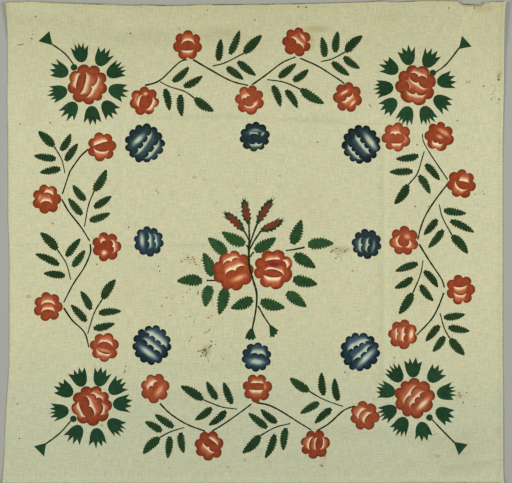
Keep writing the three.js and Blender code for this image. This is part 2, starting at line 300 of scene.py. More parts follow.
# The stains.
# Damp and handling have left brown dots, drips and smears on the bare cloth, with a few
# drops of the vines' dark green. They come first, so that the print covers them.
FOXING = ink(148, 116, 54)
BROWN = ink(112, 84, 34)
DARK_BROWN = ink(78, 56, 20)
TAN = ink(172, 148, 92)
PINK = ink(186, 146, 116)
VINE = ink(20, 34, 10)
SPOT_CORNERS = 9
SPOT_EDGE = (0.92, 1.34)
STAIN_LOBES = 12
STAIN_EDGE = (0.7, 1.1)
STAIN_STEP = 15
STAIN_FADE = 0.8
STAIN_RINGS = (1.0, 0.85, 0.65, 0.45, 0.2)
SPOTS = (
    # centre, length, width, direction in degrees, colour, cover
    (373, 249, 3.6, 3, 0, DARK_BROWN, 0.85), (372.6, 254, 2.6, 2.2, 0, BROWN, 0.7),
    (324, 246, 3, 2.2, 10, FOXING, 0.7), (327.6, 245, 3, 2.2, 20, BROWN, 0.7),
    (329.6, 248, 2.4, 1.8, 0, FOXING, 0.6), (350.4, 239, 3.6, 2.2, 0, BROWN, 0.8),
    (368, 236, 2, 1.6, 0, BROWN, 0.55), (367, 232.5, 2, 1.6, 0, BROWN, 0.55),
    (365.4, 240.4, 3.6, 1.6, 0, BROWN, 0.4), (365, 228, 2, 1.8, 0, BROWN, 0.55),
    (362, 218.7, 4, 2.2, 20, BROWN, 0.55), (373.6, 218.4, 3.6, 3, 0, BROWN, 0.7),
    (371, 213, 7, 1, 22, BROWN, 0.4), (-202, -200, 6, 3, 70, BROWN, 0.6),
    (-200, -192, 3, 2, 20, BROWN, 0.6), (312.5, -232.5, 3, 2, 60, DARK_BROWN, 0.8),
    (312.2, -236.8, 3.6, 1.6, 110, DARK_BROWN, 0.8), (315.2, -236.4, 3.6, 1.6, 115, BROWN, 0.8),
    (314, -239.6, 2.6, 1.8, 0, DARK_BROWN, 0.7), (324, -232, 3, 1.6, 0, BROWN, 0.65),
    (325, -224, 1.8, 1.6, 0, BROWN, 0.45), (319, -248, 2.6, 2.2, 90, DARK_BROWN, 0.85),
    (336.5, -253.6, 3, 2.4, 0, BROWN, 0.4), (106.4, -330.3, 3, 1.8, 30, DARK_BROWN, 0.8),
    (106.4, -334, 2.2, 1.4, 10, BROWN, 0.65), (99, -343.6, 2.4, 2, 0, FOXING, 0.75),
    (101.6, -345.3, 3.6, 2.8, 20, DARK_BROWN, 0.8), (280, -330, 6.4, 3.6, 0, FOXING, 0.45),
    (213, -179, 5, 4, 30, TAN, 0.5), (-350, -85, 7, 6, 0, TAN, 0.6),
    (-95, 99, 6, 5, 15, TAN, 0.5), (-42, -219, 6, 4, 0, TAN, 0.45),
    (37, 101, 3, 2, 0, BROWN, 0.6), (-79, 95, 3, 2, 0, BROWN, 0.6),
    (149, -45, 4, 2, 30, BROWN, 0.6), (-145, -99, 4, 2.5, 90, BROWN, 0.6),
    (137, -201, 4, 2.5, 0, BROWN, 0.6), (-17, -336, 5, 3, 60, FOXING, 0.5),
    (-43, -347, 5, 3, 0, FOXING, 0.5), (-237, -283, 4, 3, 0, FOXING, 0.6),
    # the heavy patch below the left bouquet leaves
    (-95.4, -123, 2.6, 1.8, 30, BROWN, 0.8), (-71.5, -135.7, 3, 1.6, 60, DARK_BROWN, 0.9),
    (-76, -139.2, 8.5, 1.2, 14, BROWN, 0.65), (-102.3, -152.8, 3, 1.6, 75, BROWN, 0.75),
    (-99.8, -147.8, 6.5, 1.3, 62, FOXING, 0.65), (-68.7, -153.8, 2.6, 2.3, 0, DARK_BROWN, 0.95),
    (-62.5, -158.3, 2.3, 1.9, 0, BROWN, 0.75), (-69.3, -160.5, 3.8, 2.5, 40, DARK_BROWN, 0.8),
    (-72, -163.2, 3.8, 2, 30, BROWN, 0.8), (-79.6, -166.5, 5, 2.8, 25, DARK_BROWN, 0.9),
    (-78.2, -168.8, 3.6, 2.2, 150, DARK_BROWN, 0.85), (-88.4, -168.6, 3, 2.4, 0, BROWN, 0.85),
    (-84.2, -168.2, 3.2, 1.6, 0, BROWN, 0.75), (-82.1, -170.8, 2.4, 2.2, 0, VINE, 0.95),
    (-76.4, -172.6, 4.2, 2, 70, DARK_BROWN, 0.8), (-78, -176, 3.2, 2.2, 60, DARK_BROWN, 0.85),
    (-81.8, -174.6, 2.6, 1.8, 0, BROWN, 0.75), (-84.8, -176.4, 3.6, 2, 20, DARK_BROWN, 0.85),
    (-73.6, -181, 8, 0.9, -58, BROWN, 0.45), (-72.8, -184.8, 2, 1.6, 0, BROWN, 0.65),
    (-50.5, -180.3, 3.2, 1.4, 0, DARK_BROWN, 0.75), (-53.4, -177, 3, 1, 10, BROWN, 0.45),
    (-40.5, -174.5, 3.4, 1, 15, BROWN, 0.45),
    # dots and dashes round the lower left leaves
    (-89.3, -79.3, 6.4, 2.2, 72, BROWN, 0.8), (-101.2, -73.6, 3.2, 2, 30, BROWN, 0.6),
    (-106.3, -77.8, 6, 1.1, 62, FOXING, 0.5), (-137.8, -86.2, 3, 2.4, 0, BROWN, 0.75),
    (-129.7, -87.5, 4, 1.5, 10, FOXING, 0.5), (-112.9, -85.5, 3.4, 1.8, 30, FOXING, 0.65),
    (-113.2, -91.2, 3.2, 1.8, 70, FOXING, 0.65), (-111.9, -96, 3, 1.4, 100, FOXING, 0.45),
    (-67, -94, 13, 2.4, 105, TAN, 0.5), (-68.6, -84, 6, 2, 80, TAN, 0.45),
    (-132.1, -113.8, 4, 1.7, 0, BROWN, 0.5), (-101.2, -115.5, 3.2, 2.1, 0, BROWN, 0.6),
    (-107.8, -117.8, 5.4, 1.2, 42, BROWN, 0.35), (-93.5, -119.4, 3, 1.5, 60, BROWN, 0.45),
    (-72.4, -116.7, 5.6, 1.7, -36, BROWN, 0.65), (-68.2, -113.7, 3.6, 1.7, -32, BROWN, 0.55),
    (-75, -118.6, 5, 2, -20, TAN, 0.5), (-51.1, -117.5, 3.2, 2.2, 0, TAN, 0.55),
    # dots left of the bouquet and short smears right of it
    (-105, -24.5, 2.6, 2.4, 0, VINE, 0.95), (-104.9, -21, 1.7, 1.5, 0, BROWN, 0.6),
    (-114.3, -30.6, 2.3, 2, 0, DARK_BROWN, 0.9), (-109.6, -27.4, 2, 1.7, 0, BROWN, 0.75),
    (-105.2, -28, 2, 1.7, 0, BROWN, 0.8), (-101.8, -27.6, 1.8, 1.6, 0, BROWN, 0.65),
    (-98.8, -27.4, 1.8, 1.6, 0, BROWN, 0.65), (-97.2, -24.2, 2.3, 2, 0, DARK_BROWN, 0.85),
    (-95.6, -27.7, 2.3, 2, 0, DARK_BROWN, 0.85), (-94, -25.5, 1.7, 1.5, 0, BROWN, 0.65),
    (-99.8, -30.6, 1.7, 1.5, 0, BROWN, 0.55), (-103.4, -31.7, 1.7, 1.5, 0, BROWN, 0.55),
    (-101.4, -33.6, 1.7, 1.5, 0, BROWN, 0.55), (-94.1, -31.9, 2.8, 2.1, 60, DARK_BROWN, 0.85),
    (-92.4, -35.4, 2.4, 2.1, 0, DARK_BROWN, 0.9), (-88, -36.5, 2.2, 1.8, 0, BROWN, 0.75),
    (-83.9, -29, 2.4, 1.9, 0, VINE, 0.85), (116.7, -15.2, 7.4, 2, 40, DARK_BROWN, 0.85),
    (124.4, -10.5, 4.6, 1.8, 12, DARK_BROWN, 0.75), (130.1, -12, 2.2, 1.6, 0, BROWN, 0.55),
    (136.8, -15, 5, 2.2, 68, DARK_BROWN, 0.75), (141, -12, 4.8, 2.8, 20, FOXING, 0.55),
    (126.3, -20, 2, 1.6, 0, BROWN, 0.65), (122.9, -26, 2.6, 2, 0, DARK_BROWN, 0.8),
    (126, -23.6, 2.8, 1.9, 30, BROWN, 0.55), (131, -28.5, 2.6, 2, 0, FOXING, 0.5),
    (130.8, -24.6, 2.2, 1.7, 0, FOXING, 0.5),
)
# Clusters of small foxing dots: centre, half width, half height, number of dots, largest dot.
CLUSTERS = (
    (-20, 70, 60, 40, 10, 2.2), (-300, 330, 60, 30, 9, 2.2), (250, -300, 110, 50, 14, 2.3),
    (-250, 60, 90, 120, 16, 2.1), (120, 60, 110, 90, 16, 2.1), (-60, -320, 160, 40, 15, 2.3),
    (80, 345, 250, 18, 16, 2.1), (350, 60, 24, 180, 14, 2.1),
)
SOFT_STAINS = (
    # centre, length, width, direction, colour, strength, hollow
    (92, 327, 56, 14, 4, TAN, 0.6, 0), (85, 309, 36, 14, 100, TAN, 0.5, 0),
    (56, 335, 20, 8, 0, PINK, 0.35, 0.75), (-77, -167, 28, 22, 35, FOXING, 0.6, 0),
    (130, -14, 40, 18, 0, FOXING, 0.45, 0), (-102, -27, 34, 22, 0, TAN, 0.22, 0),
    (374, 255, 12, 22, 0, FOXING, 0.65, 0), (354, 358, 56, 16, 8, TAN, 0.4, 0),
    (318, -238, 34, 28, 0, TAN, 0.22, 0),
    (104, -337, 16, 34, 0, TAN, 0.22, 0), (200, 345, 90, 30, 5, TAN, 0.16, 0),
    (-60, 320, 120, 40, 0, TAN, 0.14, 0), (-340, 200, 50, 60, 0, TAN, 0.13, 0),
    (20, -130, 70, 40, 30, PINK, 0.10, 0), (-200, -80, 60, 50, 0, PINK, 0.10, 0),
    (240, -60, 30, 60, 0, TAN, 0.12, 0), (80, 60, 90, 60, 20, PINK, 0.09, 0),
    (318, -322, 122, 88, 0, FOXING, 0.13, 0),
    (278, -330, 26, 11, -3, TAN, 0.42, 0),
)
stain_spots = []


def turned(at, x, y, turn):
    """Where a point of a shape comes to lie when the shape is turned and set down."""
    return (at[0] + x * math.cos(turn) - y * math.sin(turn),
            at[1] + x * math.sin(turn) + y * math.cos(turn))


def blob(x, y, length, width, direction, colour, cover, seed):
    """A small spot with an uneven edge."""
    draw = random.Random(seed)
    turn = math.radians(direction)
    ring = []
    for corner in range(SPOT_CORNERS):
        angle = corner * 2 * math.pi / SPOT_CORNERS
        reach = draw.uniform(*SPOT_EDGE) / 2
        ring.append(turned((x, y), length * reach * math.cos(angle),
                           width * reach * math.sin(angle), turn))
    stencil(ring, colour, cover)


def soft_stain(x, y, length, width, direction, colour, strength, seed, hollow=0.0):
    """A stain that fades to its edge, or a ring where its middle is hollow."""
    draw = random.Random(seed)
    turn = math.radians(direction)
    reach = [draw.uniform(*STAIN_EDGE) for _ in range(STAIN_LOBES)]

    def rim(angle):
        return np.interp(angle, np.linspace(0, 360, STAIN_LOBES + 1), reach + reach[:1])

    def paint(px, py):
        dx, dy = px - x, py - y
        lx = (dx * math.cos(turn) + dy * math.sin(turn)) / (length / 2)
        ly = (-dx * math.sin(turn) + dy * math.cos(turn)) / (width / 2)
        out = np.hypot(lx, ly) / rim(np.mod(np.degrees(np.arctan2(ly, lx)), 360))
        body = np.clip(1 - np.abs(out - hollow) / (1 - hollow), 0, 1) ** STAIN_FADE
        return np.tile(colour, (len(px), 1)), strength * body

    for share in STAIN_RINGS:
        ring = []
        for angle in range(0, 360, STAIN_STEP):
            far = share * rim(angle)
            ring.append(turned((x, y), far * math.cos(math.radians(angle)) * length / 2,
                               far * math.sin(math.radians(angle)) * width / 2, turn))
        if share == 1.0:
            shapes.append((np.array(ring), paint))
        else:
            stain_spots.extend(ring)


for number, stain in enumerate(SOFT_STAINS):
    soft_stain(*stain[:7], 900 + number, stain[7])
scatter = random.Random(77)
for x, y, half_x, half_y, dots, largest in CLUSTERS:
    for _ in range(dots):
        size = largest * scatter.uniform(0.35, 1)
        blob(x + scatter.gauss(0, 0.5) * half_x, y + scatter.gauss(0, 0.5) * half_y, size,
             size * scatter.uniform(0.4, 0.8), scatter.uniform(0, 180),
             BROWN if scatter.random() < 0.6 else FOXING, scatter.uniform(0.5, 0.9),
             scatter.randrange(9999))
for number, spot in enumerate(SPOTS):
    blob(*spot, 940 + number)

# The shaded and soiled hem line.
# A dark, uneven line runs right along the rolled top edge and round the bite: painted shade of
# the rolled hem, with dirt in it. A second, browner one lies just below the bite, and the cut
# end has a faint brown band near its right corner.
HEM_STEP = 3
HEM_PIECE = 8
HEM_LINE_DROP = 1.4
HEM_LINE_WIDTH = (0.9, 1.8)
HEM_LINE_COVER = (0.5, 0.95)
DARK_SHARE = 0.7
LOWER_DROP = 3.6
CUT_END_FROM = 226
CUT_END_STEP = 9.6
CUT_END_UP = 1.1
CUT_END_PIECES = 16
across = np.arange(1 - HALF_WIDTH, HALF_WIDTH - 0.5, HEM_STEP)
shift_x, shift_y = pull(across, np.full(len(across), HALF_LENGTH))
top_line = np.column_stack((across + shift_x, HALF_LENGTH + shift_y))


def ribbon(line, drop, width, colour, cover, seed):
    """An uneven painted line at a distance below another."""
    draw = random.Random(seed)
    widths = np.array([width * draw.uniform(0.6, 1.4) for _ in line]) / 2
    upper = np.column_stack((line[:, 0], line[:, 1] - drop + widths))
    lower = np.column_stack((line[:, 0], line[:, 1] - drop - widths))
    stencil(np.concatenate((upper[::-1], lower)), colour, cover)


# The dark line along the top edge: painted shade of the rolled hem, with dirt in it.
for number, first in enumerate(range(0, len(top_line) - 2, HEM_PIECE)):
    ribbon(top_line[first:first + HEM_PIECE + 1], HEM_LINE_DROP, rag.uniform(*HEM_LINE_WIDTH),
           DARK_BROWN if rag.random() < DARK_SHARE else BROWN, rag.uniform(*HEM_LINE_COVER),
           number + 1000)
bite_line = top_line[(top_line[:, 0] > BITE_FROM - 2) & (top_line[:, 0] < BITE_TO + 10)]
ribbon(bite_line, LOWER_DROP, 1.0, BROWN, 0.7, 1120)
for number in range(CUT_END_PIECES):
    blob(CUT_END_FROM + number * CUT_END_STEP, -HALF_LENGTH + CUT_END_UP, 11, 1.8, 0, BROWN,
         rag.uniform(0.2, 0.45), number + 1140)

# The vines.
# Four vines run between the corners in gentle arches, one arch to a flower. Each is a thin,
# dark green painted line, a little uneven in width.
VINES = (
    ((-171, 240), (-148, 248), (-119, 275), (-106, 280)),
    ((-97, 280), (-68, 263), (-38, 247), (-12, 240)),
    ((-6, 241), (15, 256), (40, 275), (61, 284)),
    ((68, 282), (95, 270), (117, 256), (132, 246), (136, 242)),
    ((256, 166), (258, 153), (267, 137), (274, 126), (295, 95)),
    ((295, 89), (276, 64), (262, 42), (254, 23), (249, 3)),
    ((251, -4), (267, -30), (285, -57), (290, -71)),
    ((289, -79), (280, -102), (269, -121), (247, -144)),
    ((-148, -249), (-132, -265), (-107, -281), (-78, -292)),
    ((-68, -292), (-53, -283), (-31, -268), (-7, -250)),
    ((1, -248), (20, -252), (40, -262), (62, -276), (85, -290)),
    ((94, -291), (112, -280), (135, -260), (152, -253)),
    ((-258, 142), (-270, 131), (-285, 110), (-288, 103), (-298, 73)),
    ((-299, 65), (-288, 46), (-270, 23), (-256, 1)),
    ((-255, -4), (-255, -18), (-265, -41), (-281, -65), (-296, -94)),
    ((-296, -102), (-283, -121), (-264, -140), (-257, -163)),
)
THIN_VINE = 4
THIN_WIDTH = 1.6
VINE_WIDTH = 2.7
STEM_EDGE = (0.85, 1.15)


def smooth_line(points, steps=6):
    """A curve through the points."""
    points = [np.array(p, dtype=float) for p in points]
    ends = [2 * points[0] - points[1]] + points + [2 * points[-1] - points[-2]]
    line = []
    for i in range(1, len(ends) - 2):
        p0, p1, p2, p3 = ends[i - 1:i + 3]
        for step in range(steps):
            t = step / steps
            line.append(0.5 * (2 * p1 + (p2 - p0) * t + (2 * p0 - 5 * p1 + 4 * p2 - p3) * t ** 2
                               + (3 * p1 - p0 - 3 * p2 + p3) * t ** 3))
    line.append(points[-1])
    return np.array(line)


def stem(points, width, end_width=2.2, colour=VINE, seed=0):
    """A painted stem, a little uneven in width."""
    line = smooth_line(points)
    heading = np.gradient(line, axis=0)
    heading /= np.hypot(*heading.T)[:, None]
    left = np.stack((-heading[:, 1], heading[:, 0]), axis=1)
    draw = random.Random(seed + len(line))
    widths = np.linspace(width, end_width, len(line))
    widths = widths * np.array([draw.uniform(*STEM_EDGE) for _ in line]) / 2
    polygon = np.concatenate((line + left * widths[:, None],
                              (line - left * widths[:, None])[::-1]))
    stencil(polygon, colour)


for number, run in enumerate(VINES):
    stem(run, THIN_WIDTH if number == THIN_VINE else VINE_WIDTH, seed=number)

# The leafy sprays.
# Sixteen of them fill the vines' arches: a stem, a toothed leaf at its tip and two on each
# side, all stencilled in one green.
LEAF_GREEN = ink(36, 58, 32)
END_LEAF_WIDTH = 15.4
SIDE_LEAF_WIDTH = 13
LEAF_TEETH = 8
TEETH_FROM = 0.09
TOOTHED = 0.88
LEAST_LEAF = 0.08
LEAF_END = 0.94
SPRAYS = (
    # stem from the vine outwards; tip of the end leaf; base and tip of each side leaf
    (((-148, 246), (-132, 238), (-110, 231), (-94, 220)), (-65, 200),
     ((-128, 246, -103, 269), (-111, 238, -82, 255), (-140, 235, -133, 201), (-116, 226, -114, 192))),
    (((-67, 270), (-48, 275), (-18, 290)), (9, 318),
     ((-58, 278, -54, 312), (-40, 288, -25, 325), (-45, 268, -19, 249), (-28, 277, 0, 255))),
    (((17, 249), (43, 245), (69, 234)), (105, 212),
     ((35, 252, 62, 274), (57, 247, 81, 265), (26, 240, 38, 207), (46, 233, 64, 205))),
    (((100, 277), (117, 281), (138, 292)), (164, 317),
     ((106, 284, 101, 315), (122, 291, 126, 324), (117, 276, 144, 255), (135, 284, 160, 266))),
    (((259, 139), (255, 126), (248, 104), (234, 87)), (213, 57),
     ((250, 132, 215, 127), (241, 108, 205, 107), (261, 119, 283, 94), (251, 102, 268, 73))),
    (((282, 57), (287, 37), (302, 9)), (326, -19),
     ((289, 48, 324, 43), (299, 32, 336, 14), (279, 34, 258, 10), (288, 18, 265, -10))),
    (((257, -29), (253, -51), (241, -80)), (220, -112),
     ((249, -34, 214, -46), (241, -56, 213, -72), (259, -45, 280, -71), (253, -67, 273, -92))),
    (((283, -110), (290, -134), (299, -150)), (321, -175),
     ((289, -117, 322, -112), (296, -132, 329, -138), (282, -129, 261, -154), (290, -146, 272, -170))),
    (((-110, -286), (-132, -293), (-149, -302)), (-174, -327),
     ((-127, -286, -156, -266), (-145, -292, -171, -277), (-133, -300, -136, -334),
      (-116, -294, -111, -326))),
    (((-29, -258), (-51, -255), (-68, -249), (-82, -243)), (-116, -222),
     ((-60, -243, -76, -215), (-37, -250, -50, -216), (-68, -256, -94, -275), (-46, -261, -73, -283))),
    (((53, -280), (30, -286), (6, -299)), (-21, -326),
     ((32, -279, 7, -258), (17, -287, -12, -264), (29, -297, 14, -334), (46, -287, 42, -322))),
    (((134, -254), (104, -243), (81, -230)), (52, -210),
     ((104, -237, 101, -201), (126, -245, 121, -210), (97, -248, 68, -265), (116, -257, 90, -280))),
    (((-294, 105), (-299, 126), (-311, 147)), (-335, 170),
     ((-300, 140, -285, 166), (-293, 124, -274, 151), (-308, 127, -342, 132), (-301, 112, -333, 106))),
    (((-264, 23), (-258, 55), (-249, 78)), (-230, 111),
     ((-268, 41, -289, 67), (-263, 63, -282, 87), (-249, 52, -222, 70), (-256, 32, -224, 44))),
    (((-285, -59), (-292, -34), (-306, -12)), (-332, 14),
     ((-303, -36, -340, -19), (-294, -53, -327, -49), (-292, -23, -270, 5), (-282, -39, -263, -13))),
    (((-259, -142), (-249, -110), (-236, -88)), (-216, -58),
     ((-254, -105, -270, -76), (-261, -123, -285, -97), (-242, -110, -207, -107),
      (-250, -134, -217, -126))),
)


def leaf(base, tip, width, teeth, seed, colour, notch, fullest, taper=2.5):
    """A leaf with forward teeth: a round base, fullest at a share of its length, a point."""
    base, tip = np.array(base, dtype=float), np.array(tip, dtype=float)
    run = tip - base
    left = np.array((-run[1], run[0]))
    length = math.hypot(*run)
    draw = random.Random(seed)
    bend = draw.uniform(-0.05, 0.05)

    def place(share, out):
        lean = bend * math.sin(math.pi * share)
        return base + run * share + left * (lean + out * width / 2 / length)

    def full(share):
        if share < fullest:
            return (1 - (1 - share / fullest) ** 3) ** 0.5
        return 1 - LEAF_END * ((share - fullest) / (1 - fullest)) ** taper

    sides = []
    reach = TOOTHED / teeth
    for side in (1, -1):
        line = []
        for tooth in range(teeth):
            start = TEETH_FROM + TOOTHED * tooth / teeth
            cut = notch * draw.uniform(0.7, 1.3)
            peak = start + reach * draw.uniform(0.7, 0.84)
            valley = max(full(start) * (1 - cut), LEAST_LEAF)
            slope = max(full(start) * (1 - cut * 0.35), LEAST_LEAF)
            line.append(place(start, side * valley))
            line.append(place(start + reach * 0.36, side * slope))
            line.append(place(peak, side * full(peak) * draw.uniform(1.0, 1.07)))
        sides.append(line)
    foot = 0.7 * full(0.06)
    polygon = [place(0, foot)] + sides[0] + [place(1, 0)] + sides[1][::-1] + [place(0, -foot)]
    tint = draw.uniform(-0.12, 0.2)
    shapes.append((np.array(polygon), flat_paint(colour * (1 + tint), 1.0)))


for number, (run, tip, sides) in enumerate(SPRAYS):
    stem(run, 1.7, 2.3, seed=number + 20)
    leaf(run[-1], tip, END_LEAF_WIDTH, LEAF_TEETH, number + 100, LEAF_GREEN, 0.26, 0.34)
    for place, (bx, by, tx, ty) in enumerate(sides):
        leaf((bx, by), (tx, ty), SIDE_LEAF_WIDTH, LEAF_TEETH, number * 7 + place + 200,
             LEAF_GREEN, 0.3, 0.34)

# The corner wreaths.
# Each corner has a rose in a ring of tulip-shaped leaves, with a round bud outside it and a
# thin stem that ends in a small triangle. The rose itself comes with the other flowers.
GREEN = ink(33, 62, 38)
STEM_GREEN = ink(30, 44, 22)
BUD_RADIUS = 5.2
CORNERS = (
    # rose; direction and distance of each leaf from it; bud; its stem; triangle
    ((-259, 242), ((103, 50), (61, 48), (26, 48), (347, 48), (311, 51), (278, 49),
                   (236, 49), (196, 48), (154, 49)),
     (-280, 268), ((-281, 273), (-294, 289), (-315.5, 305)), ((-313, 302), (-318, 324), (-335, 308))),
    ((246, 241), ((106, 47), (62, 46), (8, 48), (326, 49), (290, 50), (252, 50),
                  (218, 53), (186, 50), (146, 49)),
     (272, 259.5), ((276, 260), (293, 273), (313.5, 299)), ((312, 296), (317, 317), (332, 300))),
    ((244, -241), ((128, 48), (93, 47), (49, 49), (10, 50), (331, 53), (284, 53),
                   (244, 48), (208, 47), (165, 46)),
     (267, -271), ((270, -273), (288, -292), (307, -311)), ((304, -308), (326, -312), (312, -329))),
    ((-253, -253), ((113, 48), (72, 47), (37, 49), (4, 48), (320, 49), (280, 50),
                    (240, 50), (190, 51), (149, 49)),
     (-281, -273), ((-285, -276), (-302, -295), (-325.5, -313)),
     ((-323, -310), (-342, -315), (-326, -331))),
)
TULIP_CUP = ((-12, 1), (-11, -4), (-8.8, -9.5), (-5.2, -13.8), (0, -15.6),
             (5.2, -13.8), (8.8, -9.5), (11, -4), (12, 1))


def round_bud(at, radius, colour, seed):
    draw = random.Random(seed)
    stencil([(at[0] + radius * draw.uniform(0.93, 1.07) * math.cos(math.radians(a)),
              at[1] + radius * draw.uniform(0.93, 1.07) * math.sin(math.radians(a)))
             for a in range(0, 360, 24)], colour)


def tulip(centre, direction, distance, seed):
    draw = random.Random(seed)
    turn = math.radians(direction + draw.uniform(-4, 4) - 90)
    spikes = 5 if draw.random() < 0.3 else 4
    crown = []
    for i in range(spikes):
        lean = -1 + 2 * i / (spikes - 1)
        crown.append((lean * 14 + draw.uniform(-0.9, 0.9),
                      16.4 - 6 * lean * lean + draw.uniform(-1.5, 1.5)))
        if i + 1 < spikes:
            gap = -1 + (2 * i + 1) / (spikes - 1)
            crown.append((gap * 10.5 + draw.uniform(-0.8, 0.8),
                          6 - 2 * gap * gap + draw.uniform(-1.5, 1.5)))
    ring = crown + list(TULIP_CUP)[::-1]
    middle = (centre[0] + distance * math.cos(math.radians(direction)),
              centre[1] + distance * math.sin(math.radians(direction)))
    tint = draw.uniform(-0.1, 0.2)
    stencil([turned(middle, x, y, turn) for x, y in ring], GREEN * (1 + tint))


for number, (rose_at, leaves, bud, run, triangle) in enumerate(CORNERS):
    stem(run, 2.2, 2.6, STEM_GREEN, number + 60)
    round_bud(bud, BUD_RADIUS, GREEN, number)
    stencil(triangle, GREEN * 1.1)
    for place, (direction, distance) in enumerate(leaves):
        tulip(rose_at, direction, distance, number * 11 + place + 400)

# The bouquet's leaves and buds.
# Fourteen toothed leaves spread from two roses in the middle, with two short stems, and four
# red buds in thorny sepals stand on stalks above them.
BOUQUET_GREEN = ink(42, 71, 40)
BUD_RED = ink(110, 52, 35)
BOUQUET_LEAF_WIDTH = 19.6
BOUQUET_LEAVES = (
    (-17, -4, -53, 15), (-2, -14, 31, 6), (-46, -19, -74, 6), (-67, -53, -81, -17),
    (-83, -61, -122, -61), (-71, -68, -78, -101), (-47, -72, -57, -113), (-5, -89, -39, -103),
    (7, -92, 45, -102), (47, -79, 78, -101), (57, -58, 95, -66), (59, -20, 92, -41),
    (80, -5, 120, -3), (56, -4, 70, 34),
)
BUDS = (
    # base, tip, height at which the stalk leaves the main stem
    (-19, 17, -50, 46, 0), (-11, 27, -19, 67, 1), (2, 28, 26, 67, -6), (8, 17, 43, 34, -12),
)
for place, (bx, by, tx, ty) in enumerate(BOUQUET_LEAVES):
    leaf((bx, by), (tx, ty), BOUQUET_LEAF_WIDTH, LEAF_TEETH, place + 600, BOUQUET_GREEN,
         0.27, 0.36, 1.9)
stem(((-76, -60), (-66, -60), (-55, -60)), 2.8, 2.4, STEM_GREEN, 71)
stem(((46, -14), (60, -12), (75, -9)), 2.2, 2.8, STEM_GREEN, 72)
stem(((-15, -5), (-12, -10), (-11, -16)), 2.8, 2.4, STEM_GREEN, 73)
stem(((-3, -16), (-6, -19), (-9, -24)), 2.8, 2.4, STEM_GREEN, 74)


def rose_bud(base, tip, seed):
    """A red bud in thorny green sepals, with a crown of spikes."""
    base, tip = np.array(base, dtype=float), np.array(tip, dtype=float)
    run = tip - base
    left = np.array((-run[1], run[0])) / math.hypot(*run)
    leaf(base, base + run * 0.96, 15, 5, seed, GREEN, 0.36, 0.42)
    for side in (-6.2, -2.2, 1.9, 6.0):
        foot = base + run * 0.68 + left * side * 0.55
        point = base + run * (1.1 - 0.005 * side * side) + left * side
        stencil((foot - left * 1.8, foot + left * 1.8, point), GREEN)
    leaf(base + run * 0.13, base + run * 0.82, 8.6, 3, seed + 50, BUD_RED, 0.04, 0.5)


for place, (bx, by, tx, ty, joint) in enumerate(BUDS):
    stem(((bx, by), ((bx - 9) / 2 - 0.5, by * 0.5 + joint / 2 + 1), (-10, joint)), 2.9, 2.6,
         STEM_GREEN, place + 80)
    rose_bud((bx, by), (tx, ty), place + 700)

# The flowers.
# Small red flowers, roses and blue flowers, each stencilled in a dark and a paler paint, so
# that pale bands start hard along a petal's edge and fade away from it.
DARK_RED = ink(88, 30, 8)
DEEP_RED = ink(134, 53, 26)
BRIGHT_RED = ink(182, 99, 65)
ORANGE = ink(208, 135, 93)
PEACH = ink(240, 212, 172)
CRIMSON = ink(128, 40, 36)
DARK_NAVY = ink(1, 8, 10)
NAVY = ink(18, 34, 37)
SOFT_NAVY = ink(56, 74, 76)
GREY_BLUE = ink(104, 122, 114)
BLUE_BLACK = ink(2, 9, 15)
BLUE = ink(21, 38, 46)
SOFT_BLUE = ink(58, 80, 90)
DUSTY_BLUE = ink(104, 126, 124)
PALE_BLUE = ink(174, 190, 168)
REDS = (DARK_RED, DEEP_RED, BRIGHT_RED, ORANGE, PEACH)
NAVIES = (DARK_NAVY, NAVY, SOFT_NAVY, GREY_BLUE, PALE_BLUE)
BLUER = (BLUE_BLACK, BLUE, SOFT_BLUE, DUSTY_BLUE, PALE_BLUE)
BLUER_FLOWERS = (2, 3, 6, 7)
SMALL_RED_SIZE = (16.4, 22.8)
ROSE_SIZE = (24.6, 31.2)
BIG_BLUE_SIZE = (24.6, 30.2)
SMALL_BLUE_SIZE = (18.2, 23.2)
BAND_TENTHS = 10
BULGE = 1.5
BULGE_SHARE = 0.4
FLAT_BULGE = 0.3
WEAK_BAND = 0.55
FADE_REACH = 1.9
FADE_SOFTNESS = 1.3
GLOW_REACH = 1.9
GLOW_SOFTNESS = 2.0
LENS_REACH = 1.3
LENS_SOFTNESS = 0.9
POOL_WIDTH = 0.5
BRIGHTER = 0.8
PALE_MARGIN = 0.1
THIN_PAINT = 0.3
RIM_SHADE = 0.62
RIM_FROM = 0.78
RIM_WIDTH = 0.18

